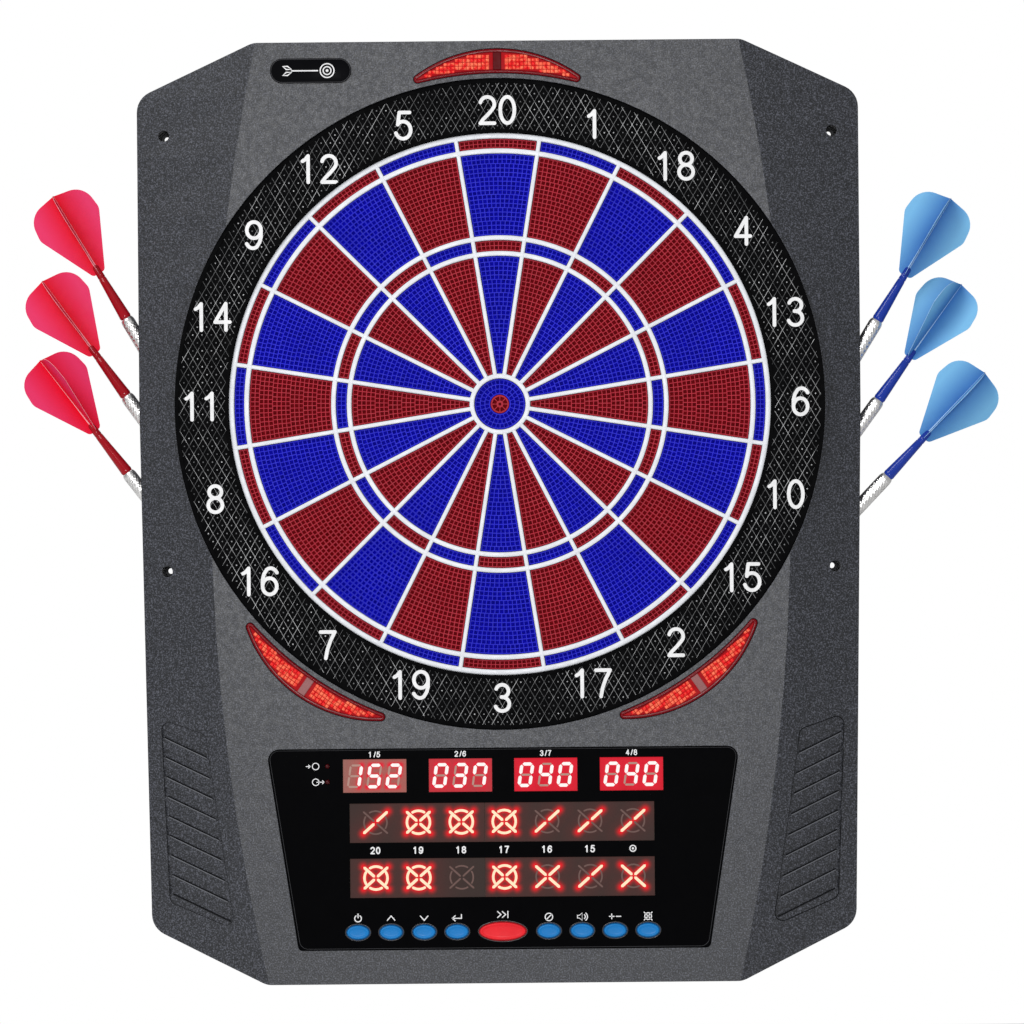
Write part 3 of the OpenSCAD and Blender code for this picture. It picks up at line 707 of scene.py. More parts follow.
def segment(build, band, place):
    """One perforated target segment, clockwise place round the board."""
    r0, r1 = WEBS[band][1] + GAP, WEBS[band + 1][0] - GAP
    turn = math.radians(18 * place)
    edge = WEB_HALF + GAP + BORDER

    def at(u, v, grow):
        r = r0 + BORDER - grow + v * (r1 - r0 - 2 * BORDER + 2 * grow)
        a = turn + (2 * u - 1) * (math.radians(9) - math.asin((edge - grow) / r))
        return r * math.sin(a), r * math.cos(a)

    inner, outer = r0 + BORDER, r1 - BORDER
    rows = 2 if band in (1, 3) else round((outer - inner) / 2.8)
    columns = []
    for j in range(rows):
        r = inner + (j + 0.5) * (outer - inner) / rows
        width = 2 * r * math.sin(math.radians(9) - math.asin(edge / r))
        columns.append(max(1, round(width / 2.8)))
    edges = tips(build, rows, columns, at)
    loop = [(u, 0.0) for u in sorted(edges[0])]
    loop += [(1.0, j / rows) for j in range(1, rows)]
    loop += [(u, 1.0) for u in sorted(edges[-1], reverse=True)]
    loop += [(0.0, j / rows) for j in range(rows - 1, 0, -1)]
    last = [edges[round(v * rows)][u] for u, v in loop]
    for grow, drop in [*FACE_BEVEL, (BORDER, SEGMENT_FRONT - SEGMENT_BACK)]:
        ids = build.add([(*at(u, v, grow), SEGMENT_FRONT - drop) for u, v in loop])
        build.band(last, ids)
        last = ids
    build.face(last)


BANDS = ["inner_single", "triple", "outer_single", "double"]
for band, ring in enumerate(BANDS):
    twenty_red = band in (1, 3)
    for colour, first in (("red", 0 if twenty_red else 1), ("blue", 1 if twenty_red else 0)):
        group = Build()
        for place in range(first, 20, 2):
            if place:
                segment(group, band, place)
        swap(group)
        looks = red_looks if colour == "red" else blue_looks
        node = f"{ring}s_{colour}"
        piece(node + "_tips", group, looks, "case", [node], angle=50)
    moving = Build()
    segment(moving, band, 0)
    swap(moving)
    colour = "red" if twenty_red else "blue"
    piece(f"{ring}_20_tips", moving, red_looks if twenty_red else blue_looks, f"{ring}_20",
          [f"{ring}_20"], angle=50)


def ring_at(r0, r1, border):
    def at(u, v, grow):
        r = r0 + border - grow + v * (r1 - r0 - 2 * border + 2 * grow)
        return r * math.sin(2 * math.pi * u), r * math.cos(2 * math.pi * u)
    return at


def rim_loops(build, edge, v, at, border):
    """The rounded wall round one side of a ring, down to its back."""
    order = sorted(edge)
    last = [edge[u] for u in order]
    for grow, drop in [(border - CHAMFER, 0.0), (border - 0.1, 0.1), (border, CHAMFER),
                       (border, SEGMENT_FRONT - SEGMENT_BACK)]:
        ids = build.add([(*at(u, v, grow), SEGMENT_FRONT - drop) for u in order])
        build.band(last, ids)
        last = ids
    return last


outer = Build()
bull_at = ring_at(6.15, 16.0, 0.6)
edges = tips(outer, 3, [20, 27, 34], bull_at, wrap=True)
outer.zip_loops(rim_loops(outer, edges[0], 0, bull_at, 0.6), rim_loops(outer, edges[-1], 1, bull_at, 0.6))
swap(outer)
piece("outer_bull_tips", outer, blue_looks, "outer_bull", ["outer_bull"], angle=50)

centre = Build()
hub_at = ring_at(1.4, 5.85, 0.55)
edges = tips(centre, 1, [8], hub_at, wrap=True)
centre.face(rim_loops(centre, edges[-1], 1, hub_at, 0.55))
order = sorted(edges[0])
last = [edges[0][u] for u in order]
for r, drop, paint in ((0.95, 0.0, 0), (0.85, HOLE_DEPTH, 1)):
    ids = centre.add([(r * math.sin(2 * math.pi * u), r * math.cos(2 * math.pi * u), SEGMENT_FRONT - drop)
                      for u in order])
    centre.band(last, ids, paint)
    last = ids
centre.face(last, 1)
swap(centre)
piece("bullseye_tips", centre, red_looks, "bullseye", ["bullseye"], angle=50)

# ------------------------------------------------------------------ lenses

ARC_R, ARC_Z, LENS_R, TIP_R = 88.0, 137.6, 210.0, 2.6


def crescent(grow):
    """Outline of the lens at the top of the board, grown outwards."""
    big, small = ARC_R - TIP_R, LENS_R + TIP_R
    if grow < -TIP_R:
        big, small = ARC_R + grow, LENS_R - grow
    z = (small ** 2 - big ** 2 + ARC_Z ** 2) / (2 * ARC_Z)
    x = math.sqrt(small ** 2 - z ** 2)
    up = math.degrees(math.atan2(z - ARC_Z, x))
    low = math.degrees(math.atan2(z, x))
    r = max(0.01, TIP_R + grow)
    outline = arc(0, ARC_Z, big + r, big + r, up, 180 - up, 60)
    outline += arc(-x, z, r, r, 180 - up, 360 - low, 10)[1:-1]
    outline += arc(0, 0, small - r, small - r, 180 - low, low, 60)
    outline += arc(x, z, r, r, low - 180, up, 10)[1:-1]
    return outline


def turned(points, degrees):
    c, s = math.cos(math.radians(degrees)), math.sin(math.radians(degrees))
    return [(x * c + z * s, z * c - x * s) for x, z in points]


LENS_FRONT = front_of("light_lens_top")
PRISM, BAR_HALF = 2.43, 2.6
for name, angle in (("top", 0), ("left", -145), ("right", 145)):
    lens = Build()
    rings = [(-0.05, 40.0), (-0.05, LENS_FRONT - 0.9), (-0.3, LENS_FRONT - 0.35), (-0.8, LENS_FRONT - 0.05),
             (-1.3, LENS_FRONT), (-2.0, LENS_FRONT - 0.12), (-2.35, LENS_FRONT - 0.7)]
    rows = lens.loft([(turned(crescent(g), angle), d) for g, d in rings], caps=False)
    lens.face(rows[0][::-1])
    lens.face(rows[-1], 1)
    floor = LENS_FRONT - 0.7
    for k in range(-23, 23):
        for j in range(-7, 6):
            x, z = (k + 0.5) * PRISM, 213.3 + j * PRISM
            if math.hypot(x, z - ARC_Z) > ARC_R - 3.0 or math.hypot(x, z) < LENS_R + 2.6 or abs(x) < 4.2:
                continue
            frusta = [(turned([(x + px * h, z + pz * h) for px, pz in ((-1, -1), (1, -1), (1, 1), (-1, 1))],
                              angle), d) for h, d in ((1.12, floor - 0.1), (0.75, floor + 0.38), (0.35, floor + 0.55))]
            lens.loft(frusta, 2)
    high = math.sqrt((ARC_R - 2.2) ** 2 - 2.6 ** 2) + ARC_Z
    low = math.sqrt((LENS_R + 2.2) ** 2 - 2.6 ** 2)
    bars = [(turned([(c - BAR_HALF, low + c), (BAR_HALF - c, low + c), (BAR_HALF - c, high - c), (c - BAR_HALF, high - c)],
                    angle), d) for c, d in ((0, floor - 0.1), (0, LENS_FRONT - 0.3), (0.35, LENS_FRONT))]
    lens.loft(bars, 3)
    bar_look = bar_dark_look if name == "top" else bar_pale_look
    piece("lens_" + name, lens, [lens_look, floor_look, prism_look, bar_look], "case",
          ["light_lens_" + name], angle=40)

# ------------------------------------------------------------------ displays

SEGMENTS_7 = {"0": "abcdef", "1": "bc", "2": "abged", "3": "abgcd", "4": "fgbc", "5": "afgcd", "7": "abcf"}
LINES_7 = {"a": ((0, 1), (1, 1)), "b": ((1, 1), (1, 0.5)), "c": ((1, 0.5), (1, 0)), "d": ((0, 0), (1, 0)),
           "e": ((0, 0.5), (0, 0)), "f": ((0, 1), (0, 0.5)), "g": ((0, 0.5), (1, 0.5))}
DIGIT_W, DIGIT_H, DIGIT_PITCH, DIGIT_STROKE, SLANT = 6.9, 13.6, 12.4, 2.1, 0.15
SCORES = [(-81.6, "152", (0.25, 0.135, 0.11), 0.4), (-27.1, "037", (0.34, 0.045, 0.050), 0.7),
          (27.1, "040", (0.52, 0.008, 0.018), 1.0), (81.6, "040", (0.50, 0.008, 0.016), 1.0)]
SCORE_Z, SCORE_HALF = -235.6, (20.0, 10.45)
lamp_low, lamp_high = DISPLAY_FRONT - 0.05, DISPLAY_FRONT + 0.12


def near(points, lines):
    """Each point's distance to the nearest of some lines."""
    best = np.full(len(points), 1e9)
    for a, b in lines:
        a, b = np.array(a), np.array(b)
        way = b - a
        t = np.clip((points - a) @ way / (way @ way), 0, 1)[:, None]
        best = np.minimum(best, np.linalg.norm(points - (a + t * way), axis=1))
    return best


def lit_face(build, low, high, step, lines, dark, glow, spread, haze):
    """A display module whose front glows round its lit lines."""
    nx, nz = (max(2, round((high[k] - low[k]) / step)) for k in (0, 1))
    grid = [(low[0] + (high[0] - low[0]) * i / nx, low[1] + (high[1] - low[1]) * j / nz)
            for j in range(nz + 1) for i in range(nx + 1)]
    ids = build.add([(x, DISPLAY_FRONT, z) for x, z in grid])
    for j in range(nz):
        for i in range(nx):
            k = j * (nx + 1) + i
            build.face([ids[k], ids[k + 1], ids[k + nx + 2], ids[k + nx + 1]])
    rim = ([j for j in range(nx + 1)] + [(j + 1) * (nx + 1) - 1 for j in range(1, nz + 1)]
           + [nz * (nx + 1) + i for i in range(nx - 1, -1, -1)] + [j * (nx + 1) for j in range(nz - 1, 0, -1)])
    back = build.add([(grid[k][0], DISPLAY_BACK, grid[k][1]) for k in rim])
    build.band([ids[k] for k in rim], back)
    build.face(back[::-1])
    points = np.array(grid)
    away = near(points, lines) if lines else np.full(len(points), 1e3)
    share = np.exp(-(np.maximum(away - 0.8, 0) / spread) ** 1.3)[:, None]
    far = haze * np.exp(-np.maximum(away, 0) / (5 * spread))[:, None]
    shade = np.array(dark) * (1 - np.maximum(share, far)) + np.array(glow) * np.maximum(share, far)
    shade = [(*c, 1.0) for c in shade] + [(*dark, 1.0)] * len(back)
    build.values.setdefault("shade", []).extend(shade)


def lamp(build, a, b, width, paint=0, lift=0.0):
    """A bar with pointed ends."""
    length = math.hypot(b[0] - a[0], b[1] - a[1])
    ux, uz = (b[0] - a[0]) / length, (b[1] - a[1]) / length
    h = width / 2
    outline = [(a[0], a[1]), (a[0] + (ux - uz) * h, a[1] + (uz + ux) * h), (b[0] - (ux + uz) * h, b[1] + (ux - uz) * h),
               (b[0], b[1]), (b[0] - (ux - uz) * h, b[1] - (uz + ux) * h), (a[0] + (ux + uz) * h, a[1] + (uz - ux) * h)]
    build.loft([(outline, lamp_low), (outline, lamp_high + lift)], paint)


faces, digits = Build(), Build()
for x0, text, dark, haze in SCORES:
    lines = []
    for k, sign in enumerate(text):
        left = x0 - SCORE_HALF[0] + 2.9 + k * DIGIT_PITCH
        for key, ends in LINES_7.items():
            a, b = [(left + px * DIGIT_W + (pz * DIGIT_H) * SLANT, SCORE_Z + (pz - 0.5) * DIGIT_H) for px, pz in ends]
            short = [(a[0] + (b[0] - a[0]) * t, a[1] + (b[1] - a[1]) * t) for t in (0.05, 0.95)]
            lit = key in SEGMENTS_7[sign]
            lamp(digits, *short, DIGIT_STROKE if lit else 1.3, 0 if lit else 1)
            if lit:
                lines.append((a, b))
    lit_face(faces, (x0 - SCORE_HALF[0], SCORE_Z - SCORE_HALF[1]), (x0 + SCORE_HALF[0], SCORE_Z + SCORE_HALF[1]),
             0.5, lines, dark, (0.70, 0.010, 0.030), 1.7, haze)
piece("score_modules", faces, [score_look], "case", ["score_displays"])
piece("score_digits", digits, [digit_look, ghost_look], "case")

MARK_R, MARK_TIP, MARK_W = 7.3, 7.9, 1.6
ROWS = [("upper", -265.2, ["/", "XO", "XO", "XO", "/", "/", "/"]),
        ("lower", -300.4, ["XO", "XO", "", "XO", "X", "/", "X"])]
MARK_X = [-81.3 + 27.25 * i for i in range(7)]
CRICKET_SEAM = -12.0
for name, z0, marks in ROWS:
    node = "cricket_display_" + name
    low, high = [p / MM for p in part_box(node)]
    faces, bars = Build(), Build()
    for x0, x1 in ((low.x, CRICKET_SEAM - 0.1), (CRICKET_SEAM + 0.1, high.x)):
        lines = []
        for x, mark in zip(MARK_X, marks):
            if not x0 < x < x1:
                continue
            diagonals = {"/": ((-1, -1), (1, 1)), "X": ((-1, 1), (1, -1))}
            for key, (a, b) in diagonals.items():
                lit = key in mark or ("X" in mark)
                r = MARK_TIP
                for s0, s1 in ((a, (a[0] * 0.07, a[1] * 0.07)), ((b[0] * 0.07, b[1] * 0.07), b)):
                    p, q = (x + s0[0] * r, z0 + s0[1] * r * 0.9), (x + s1[0] * r, z0 + s1[1] * r * 0.9)
                    lamp(bars, p, q, MARK_W * (1.15 if lit else 0.7), 0 if lit else 1, 0.03)
                    if lit:
                        lines.append((p, q))
            for start in (50, 140, 230, 320):
                ring = arc(x, z0, MARK_R, MARK_R, start + 10, start + 70, 8)
                lit = "O" in mark
                stroke(bars, ring, MARK_W if lit else 1.0, lamp_low, lamp_high, paint=0 if lit else 1)
                if lit:
                    lines += list(zip(ring[::2], ring[2::2]))
        lit_face(faces, (x0, low.z), (x1, high.z), 0.6, lines, (0.038, 0.025, 0.022), (0.74, 0.008, 0.014), 1.5, 0.07)
    piece("cricket_face_" + name, faces, [cricket_look], "case", [node])
    piece("cricket_marks_" + name, bars, [mark_look, dim_look], "case")

# ------------------------------------------------------------------ printing on the panel

ink = Build()
INK = (PANEL_FRONT - 0.05, PANEL_FRONT + 0.08)
for x, text in zip((-81.6, -27.1, 27.1, 81.6), ("1/5", "2/6", "3/7", "4/8")):
    write(ink, text, x, -221.9, 3.7, 0.62, *INK, advance=1.0)
for x, text in zip(MARK_X, ("20", "19", "18", "17", "16", "15")):
    write(ink, text, x - 0.2, -282.9, 4.7, 0.85, *INK, advance=0.9)
stroke(ink, arc(MARK_X[6] - 0.2, -282.9, 1.9, 1.9, 0, 345, 23), 0.7, *INK, closed=True)
ink.loft([(arc(MARK_X[6] - 0.2, -282.9, 0.75, 0.75, 0, 330, 11), d) for d in INK])
for z, inner in ((-229.2, 1.0), (-239.2, 0.0)):
    stroke(ink, arc(-119, z, 2.1, 2.1, 0, 345, 23), 0.5, *INK, closed=True)
    stroke(ink, [(-125, z), (-122.5, z)] if inner else [(-118.4, z), (-113.6, z)], 0.5, *INK)
    stroke(ink, [(-123.5, z + 1), (-122.4, z), (-123.5, z - 1)] if inner
           else [(-114.7, z + 1), (-113.6, z), (-114.7, z - 1)], 0.5, *INK)

BUTTON_X = [-92.9, -71.9, -50.9, -30.0, -1.0, 28.3, 49.4, 70.3, 91.3]
BUTTON_Z, ICON_Z, ICON_SCALE = -334.8, -326.0, 1.25


def icon(i, *lines, width=0.65, closed=False):
    for points in lines:
        z = ICON_Z + (1.8 if i == 4 else 0.0)
        stroke(ink, [(BUTTON_X[i] + x * ICON_SCALE, z + y * ICON_SCALE) for x, y in points], width, *INK,
               closed=closed)


icon(0, arc(0, 0, 1.7, 1.7, 125, 415, 16))
icon(0, [(0, 0.4), (0, 2.3)])
icon(1, [(-1.9, -1.0), (0, 1.2), (1.9, -1.0)])
icon(2, [(-1.9, 1.0), (0, -1.2), (1.9, 1.0)])
icon(3, [(2.2, 1.6), (2.2, -0.3), (-2.2, -0.3)])
icon(3, [(-1.0, 1.0), (-2.4, -0.3), (-1.0, -1.6)])
icon(4, [(-2.6, 1.5), (-0.9, 0), (-2.6, -1.5)], [(-0.2, 1.5), (1.5, 0), (-0.2, -1.5)], [(2.6, 1.6), (2.6, -1.6)])
icon(5, arc(0, 0, 1.9, 1.9, 0, 345, 23), closed=True)
icon(5, [(-1.2, -1.2), (1.2, 1.2)])
icon(6, [(-2.4, -0.7), (-2.4, 0.7), (-1.4, 0.7), (0, 1.9), (0, -1.9), (-1.4, -0.7)], closed=True, width=0.45)
icon(6, arc(0.3, 0, 1.3, 1.3, -50, 50, 8), arc(0.3, 0, 2.4, 2.4, -50, 50, 8))
icon(7, [(-2.9, 0), (-0.5, 0)], [(-1.7, -1.2), (-1.7, 1.2)], [(0.6, 0), (2.9, 0)])
icon(8, arc(0, 0, 1.7, 1.7, 0, 345, 23), closed=True)
icon(8, [(-2.0, -2.0), (2.0, 2.0)], [(-2.0, 2.0), (2.0, -2.0)])
piece("panel_print", ink, [print_look], "case", angle=40)

# ------------------------------------------------------------------ panel rim, bezels, buttons


def oval(x, z, rx, rz, steps=48):
    return arc(x, z, rx, rz, 0, 360 - 360 / steps, steps - 1)


def tube_loop(build, outline, radius, depth, sides=6, paint=0, closed=True):
    """A bead along an outline, at one depth or at a depth found from each (x, z)."""
    rows = []
    for k in range(sides):
        a = math.radians(360 * k / sides + 30)
        left, right = sides_of(outline, abs(radius * math.cos(a)), closed)
        side = left if math.cos(a) > 0 else right
        depths = [depth(x, z) if callable(depth) else depth for x, z in outline]
        rows.append(build.add([(x, d + radius * math.sin(a), z) for (x, z), d in zip(side, depths)]))
    for k in range(sides):
        build.band(rows[k], rows[(k + 1) % sides], paint, closed)
    if not closed:
        build.face([row[0] for row in rows])
        build.face([row[-1] for row in rows][::-1])


def rounded(corners, radius, steps=8):
    """A clockwise or counter-clockwise outline with round corners."""
    outline, count = [], len(corners)
    for i, b in enumerate(corners):
        a, c = Vector(corners[i - 1]), Vector(corners[(i + 1) % count])
        b = Vector(b)
        u, v = (a - b).normalized(), (c - b).normalized()
        half = u.angle(v) / 2
        centre = b + (u + v).normalized() * radius / math.sin(half)
        p, q = b + u * radius / math.tan(half) - centre, b + v * radius / math.tan(half) - centre
        for k in range(steps + 1):
            t = k / steps
            w = (p * (1 - t) + q * t).normalized() * radius
            outline.append(tuple(centre + w))
    return outline


# A grey bead along the panel's edge as a painted highlight.
trim = Build()
edge = rounded([(-148.9, -219.2), (148.9, -219.2), (129.4, -345.2), (-129.4, -345.2)], 5.6)
tube_loop(trim, edge, 0.16, PANEL_FRONT)
piece("panel_rim", trim, [rim_highlight_look], "case", angle=60)

CREASE = (184, 3.62e-4, -60)
EDGE_DEPTH, CASE_SIDE = 30, 230.0
RIB_PANEL = [(-213.0, -315.5), (-170.8, -333.0), (-188.9, -208.3), (-217.8, -198.5)]
RIB_COUNT, RIB_PITCH, RIB_TOP, RIB_FALL, RIB_HALF, RIB_RECESS = 9, 12.2, -207.0, 25.0, 2.7, 0.9


def slope_depth(x, z):
    """Depth of the case's sloping side at a point."""
    crease = CREASE[0] - CREASE[1] * (z - CREASE[2]) ** 2
    return CASE_FRONT - (CASE_FRONT - EDGE_DEPTH) * (abs(x) - crease) / (CASE_SIDE - crease)


def crossing(start, way, a, b):
    """Where a line from start meets the line through a and b."""
    ex, ez = b[0] - a[0], b[1] - a[1]
    t = ((a[0] - start[0]) * ez - (a[1] - start[1]) * ex) / (way[0] * ez - way[1] * ex)
    return start[0] + way[0] * t, start[1] + way[1] * t


ribs = Build()
fall = math.radians(RIB_FALL)
way = (math.cos(fall), -math.sin(fall))
for mirror in (1, -1):
    flip = [(mirror * x, z) for x, z in rounded(RIB_PANEL, 5.0)]
    # A dark bead round the recessed grille panel as painted shade.
    tube_loop(ribs, flip, 0.3, lambda x, z: slope_depth(x, z) - 0.25, 6, 1)
    for i in range(RIB_COUNT):
        # On each slot a pale bead along its lower edge as a painted highlight, and a dark bead above it as a painted
        # shadow.
        for off, radius, drop, paint in ((-RIB_HALF, 0.34, RIB_RECESS - 0.15, 0), (-RIB_HALF + 0.75, 0.4, RIB_RECESS + 0.4, 1)):
            start = (-218 - off * way[1], RIB_TOP - i * RIB_PITCH + off * way[0])
            ends = [crossing(start, way, RIB_PANEL[3], RIB_PANEL[0]), crossing(start, way, RIB_PANEL[1], RIB_PANEL[2])]
            if not RIB_PANEL[1][1] + 4 < ends[1][1]:
                continue
            line = [(ends[0][0] * (1 - t) + ends[1][0] * t, ends[0][1] * (1 - t) + ends[1][1] * t)
                    for t in (0.06, 0.3, 0.6, 0.94)]
            tube_loop(ribs, [(mirror * x, z) for x, z in line], radius, lambda x, z: slope_depth(x, z) - drop,
                      6, paint, closed=False)
rib_painted_highlight = moulded("rib_edge_painted_highlight", (0.11, 0.115, 0.13), 0.4, 0.9, 0.01)
rib_painted_shadow = moulded("rib_shadow", (0.006, 0.006, 0.007), 0.6, 0.9, 0.01, Specular_IOR_Level=0.05)
piece("rib_edges_painted_light", ribs, [rib_painted_highlight, rib_painted_shadow], "case", angle=60)

bezels = Build()
for i, x in enumerate(BUTTON_X):
    rx, rz = (14.6, 5.6) if i == 4 else (7.0, 4.3)
    tube_loop(bezels, oval(x, BUTTON_Z, rx + 1.0, rz + 1.0), 0.34, PANEL_FRONT - 0.1, 8)
bezel_look = moulded("bezel_black", (0.03, 0.03, 0.034), 0.25, 0.8, 0.002, Specular_IOR_Level=0.5)
piece("button_bezels", bezels, [bezel_look], "case", angle=60)

BUTTONS = ["on_off", "up", "down", "enter", "next", "miss", "sound", "handicap", "cricket"]
for i, (x, name) in enumerate(zip(BUTTON_X, BUTTONS)):
    node = "button_" + name
    top = front_of(node)
    colour = "red" if i == 4 else "blue"
    rx, rz = (14.6, 5.6) if i == 4 else (7.0, 4.3)
    rings = [(2.1, 39.6), (2.1, 40.8), (0, 40.8), (0, top - 0.75), (-0.12, top - 0.4), (-0.4, top - 0.12),
             (-0.8, top), (-1.15, top - 0.05), (-1.5, top - 0.22), (-2.6, top - 0.26)]
    cap = Build()
    rows = cap.loft([(oval(x, BUTTON_Z, rx + g, rz + g), d) for g, d in rings])
    stem = [(oval(x, BUTTON_Z, 2.2, 2.2, 24), d) for d in (36.4, 39.6)]
    cap.loft(stem)
    piece(node + "_cap", cap, [button_looks[colour]], node, [node], angle=50)

# ------------------------------------------------------------------ badge

sign = Build()
plate_front = front_of("badge") - 0.25
BADGE = (plate_front - 0.1, front_of("badge") - 0.02)
bx, bz = -118.3, 212.4
plate = Build()


def badge_edge(grow):
    r = 7.9 + grow
    return arc(bx + 17.95, bz, r, r, -90, 90, 24) + arc(bx - 17.95, bz, r, r, 90, 270, 24)


plate.loft([(badge_edge(0), CASE_FRONT - 0.02), (badge_edge(0), plate_front - 0.35),
            (badge_edge(-0.12), plate_front - 0.1), (badge_edge(-0.4), plate_front)])
piece("badge_plate", plate, [badge_look], "case", ["badge"], angle=50)
for r in (4.4, 2.5):
    stroke(sign, arc(bx + 10.5, bz, r, r, 0, 345, 23), 0.75, *BADGE, closed=True)
sign.loft([(arc(bx + 10.5, bz, 0.9, 0.9, 0, 330, 11), d) for d in BADGE])
stroke(sign, [(bx - 12, bz), (bx + 4.5, bz)], 0.8, *BADGE)
for way in (1, -1):
    stroke(sign, [(bx - 12, bz + way * 0.9), (bx - 14.6, bz + way * 2.9), (bx - 17.6, bz + way * 2.9),
                  (bx - 15.4, bz + way * 0.9)], 0.8, *BADGE, closed=True)
# A grey bead round the plate's edge as a painted highlight.
bead = rounded([(bx - 25.2, bz - 7.3), (bx + 25.2, bz - 7.3), (bx + 25.2, bz + 7.3), (bx - 25.2, bz + 7.3)], 7.2, 12)
tube_loop(sign, bead, 0.22, plate_front - 0.02, 6, 1)
piece("badge_print", sign, [print_look, rim_highlight_look], "case", angle=40)

# ------------------------------------------------------------------ darts

# Side, height where it enters the case, angle, depth, turn of the flight, length outside
DARTS = [(-1, 43, 59.5, 23.5, 0, 107.6), (-1, -4.7, 54.3, 21.9, 0, 106.4), (-1, -52.2, 52.5, 23.5, -17, 104.8),
         (1, 33, 58.3, 23.5, 5, 113.2), (1, -15.7, 53.8, 21.9, 24, 111.7), (1, -66.1, 46.3, 23.5, 0, 116.2)]
FLIGHT_LEN, BARREL_START, BARREL_END, DART_LEN, BARREL_R = 57.6, 91.1, 131.0, 156.0, 4.4


def wing_outline():
    """Edge of one wing from the tail to the shaft, as (distance out, along)."""
    corners = [(0.0, 0.3), (20.0, 4.0), (21.8, 21.0), (4.2, FLIGHT_LEN), (0.0, FLIGHT_LEN)]
    radii = [0, 13, 8, 3, 0]
    outline = [corners[0]]
    for i in (1, 2, 3):
        a, b, c = (Vector(corners[k]) for k in (i - 1, i, i + 1))
        u, v = (a - b).normalized(), (c - b).normalized()
        half = u.angle(v) / 2
        centre = b + (u + v).normalized() * radii[i] / math.sin(half)
        p, q = b + u * radii[i] / math.tan(half) - centre, b + v * radii[i] / math.tan(half) - centre
        for k in range(9):
            w = (p * (1 - k / 8) + q * k / 8).normalized() * radii[i]
            outline.append(tuple(centre + w))
    outline.append(corners[4])
    dense = []
    for a, b in zip(outline, outline[1:]):
        pieces = max(1, round(math.hypot(b[0] - a[0], b[1] - a[1]) / 2.5))
        dense += [(a[0] + (b[0] - a[0]) * k / pieces, a[1] + (b[1] - a[1]) * k / pieces) for k in range(pieces)]
    return dense + [corners[4]]


EDGE = wing_outline()


def wings(roll):
    """Four thin wings round the shaft; each is clearer towards its edge."""
    film, reach = Build(), []
    half, across = 0.22, 8
    for quarter in range(4):
        a = math.radians(90 * quarter + roll)
        c, s = math.cos(a), math.sin(a)
        sheets = []
        for side in (half, -half):
            rows = []
            for k, (out, along) in enumerate(EDGE):
                foot = FLIGHT_LEN * k / (len(EDGE) - 1)
                row = []
                for t in range(across + 1):
                    share = t / across
                    w, z = 0.15 + (max(out, 0.15) - 0.15) * share, foot + (along - foot) * share
                    y = side * (1 - 0.5 * share)
                    row.append((w * c - y * s, w * s + y * c, z))
                    reach.append(min(1.0, w / 20))
                rows.append(film.add(row))
            sheets.append(rows)
        for rows in sheets:
            for p, q in zip(rows, rows[1:]):
                film.band(p, q, 0, closed=False)
        # The wings' thin edges take the pale look as a painted highlight.
        for p, q in ((0, 0), (across, across)):
            film.band([r[p] for r in sheets[0]], [r[q] for r in sheets[1]], 1, closed=False)
        film.band(sheets[0][0], sheets[1][0], 1, closed=False)
        film.band(sheets[0][-1], sheets[1][-1], 1, closed=False)
    # A pale spine along the axis: a painted highlight on the flight's central fold.
    spine = spin([(0.05, 0.4), (0.42, 1.2), (0.55, 30), (0.9, FLIGHT_LEN - 4), (0.9, FLIGHT_LEN)], 16)
    ids = film.add(spine.points)
    for face in spine.faces:
        film.face([ids[k] for k in face], 1)
    reach += [1.0] * len(ids)
    film.values["reach"] = reach
    return film


def spin(profile, steps, paint=0, dent=None):
    """A solid of revolution about the dart's axis, open to a point at each end."""
    made = Build()
    rows = []
    for r, z in profile:
        row = []
        for k in range(steps):
            a = 2 * math.pi * k / steps
            rr = r - (dent(a, z) if dent else 0)
            row.append((rr * math.cos(a), rr * math.sin(a), z))
        rows.append(made.add(row))
    for p, q in zip(rows, rows[1:]):
        made.band(p, q, paint)
    made.face(rows[0][::-1], paint)
    made.face(rows[-1], paint)
    return made


def knurl(a, z):
    """Depth of the barrel's diamond grooves."""
    if not BARREL_START + 3.2 < z < BARREL_END - 4.5:
        return 0.0
    groove = min(abs(math.sin(6 * a + 1.05 * z)), abs(math.sin(6 * a - 1.05 * z)))
    return 0.32 * (1 - min(1.0, 2.4 * groove))


def barrel():
    profile = [(2.4, BARREL_START), (3.4, BARREL_START), (3.75, BARREL_START + 0.25), (4.2, BARREL_START + 1.4),
               (4.38, BARREL_START + 2.6)]
    z = BARREL_START + 3.0
    while z < BARREL_END - 4.2:
        profile.append((BARREL_R, z))
        z += 0.42
    profile += [(BARREL_R, BARREL_END - 4), (4.1, BARREL_END - 2.6), (3.2, BARREL_END), (2.2, BARREL_END + 0.1)]
    made = spin(profile, 84, 0, knurl)
    for k, face in enumerate(made.faces[:-2]):
        middle = [sum(made.points[i][n] for i in face) / 4 for n in range(3)]
        deep = BARREL_R - math.hypot(middle[0], middle[1]) > 0.17
        if deep and BARREL_START + 3.2 < middle[2] < BARREL_END - 4.5:
            made.paints[k] = 1
    return made


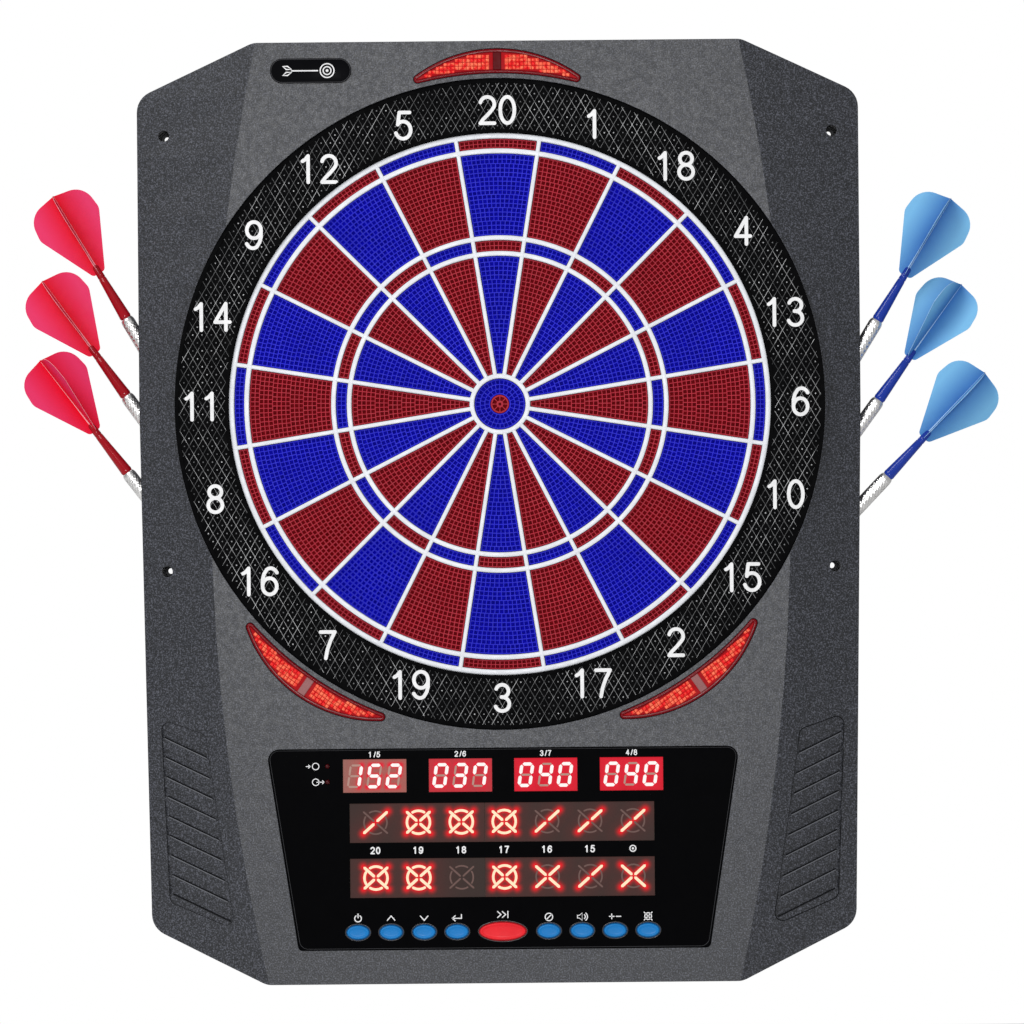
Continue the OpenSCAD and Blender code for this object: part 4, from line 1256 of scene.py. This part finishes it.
for i, (side, entry, angle, depth, roll, outside) in enumerate(DARTS):
    a = math.radians(angle)
    tail = Vector((side * (CASE_SIDE + outside * math.cos(a)), -depth, entry + outside * math.sin(a)))
    matrix = Matrix.Translation(tail) @ Matrix.Rotation(math.radians(-side * (90 + angle)), 4, "Y")
    body, colour = f"dart_{i + 1}", "red" if side < 0 else "blue"
    film, pale, gloss = dart_looks[side]
    piece(f"flight_{i + 1}_wings", wings(roll), [film, pale], body, [f"flight_{i + 1}"],
          angle=30, matrix=matrix)
    shaft = spin([(1.2, 52.0), (2.05, 53.0), (2.25, 57.4), (2.3, 57.6), (2.42, 60.6), (2.22, 60.8), (2.22, 61.3),
                  (2.45, 61.5), (2.7, 68), (3.2, 79), (3.62, 88.6), (3.75, 89.6), (3.55, 90.4), (3.3, BARREL_START)], 40)
    piece(f"shaft_{i + 1}", shaft, [gloss], body, angle=50, matrix=matrix)
    piece(f"barrel_{i + 1}", barrel(), [barrel_look, groove_look], body, [f"dart_{i + 1}"],
          angle=60, matrix=matrix)
    point = spin([(2.0, BARREL_END - 0.2), (1.9, BARREL_END + 0.6), (1.3, BARREL_END + 1), (1.15, BARREL_END + 3),
                  (0.95, BARREL_END + 4), (0.8, BARREL_END + 14), (0.5, DART_LEN - 3), (0.2, DART_LEN)], 20)
    piece(f"tip_{i + 1}", point, [tip_look], body, angle=50, matrix=matrix)

# ------------------------------------------------------------------ studio

floor_mesh = bpy.data.meshes.new("studio_floor")
floor_mesh.from_pydata([(-4.5, -4.5, -0.9), (4.5, -4.5, -0.9), (4.5, 4.5, -0.9), (-4.5, 4.5, -0.9)], [], [(0, 1, 2, 3)])
floor = bpy.data.objects.new("studio_floor", floor_mesh)
bpy.context.scene.collection.objects.link(floor)
floor_paint = Look("floor_pale", (0.82, 0.82, 0.82), 0.7)
floor_mesh.materials.append(floor_paint.material)
floor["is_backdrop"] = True

world = bpy.data.worlds.new("studio")
bpy.context.scene.world = world
world.use_nodes = True
tree = world.node_tree
back = tree.nodes["Background"]
path = tree.nodes.new("ShaderNodeLightPath")
level = tree.nodes.new("ShaderNodeMapRange")
level.inputs["To Min"].default_value = 0.42
level.inputs["To Max"].default_value = 1.0
tree.links.new(path.outputs["Is Camera Ray"], level.inputs["Value"])
tree.links.new(level.outputs[0], back.inputs["Strength"])
back.inputs["Color"].default_value = (1, 1, 1, 1)
bpy.context.scene.view_settings.view_transform = "Standard"


def softbox(name, place, aim, width, height, power):
    data = bpy.data.lights.new(name, "AREA")
    data.shape = "RECTANGLE"
    data.size, data.size_y, data.energy = width, height, power
    made = bpy.data.objects.new(name, data)
    bpy.context.scene.collection.objects.link(made)
    made.location = place
    made.rotation_mode = "QUATERNION"
    made.rotation_quaternion = (Vector(aim) - Vector(place)).to_track_quat("-Z", "Z")


softbox("key", (-0.05, -3.3, 0.12), (0, 0, -0.05), 0.6, 0.6, 28)
softbox("top_left", (-1.6, -2.0, 2.0), (0, 0, 0), 1.4, 1.4, 45)
softbox("back_left", (-2.0, 2.2, 1.2), (0, 0, -0.1), 1.4, 1.4, 30)

FRAME_WIDTH, DISTANCE, ROLL = 0.650, 3.0, 0.5
camera_data = bpy.data.cameras.new("camera")
camera_data.sensor_width = 36
camera_data.lens = 36 * (DISTANCE - CASE_FRONT * MM) / FRAME_WIDTH
camera_data.clip_end = 50
camera = bpy.data.objects.new("camera", camera_data)
bpy.context.scene.collection.objects.link(camera)
camera.rotation_mode = "QUATERNION"
camera.rotation_quaternion = (Matrix.Rotation(math.radians(ROLL), 3, "Y")
                              @ Matrix.Rotation(math.radians(90), 3, "X")).to_quaternion()
camera.location = (0.0071, -DISTANCE, -0.0687)
bpy.context.scene.camera = camera

low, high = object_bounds()
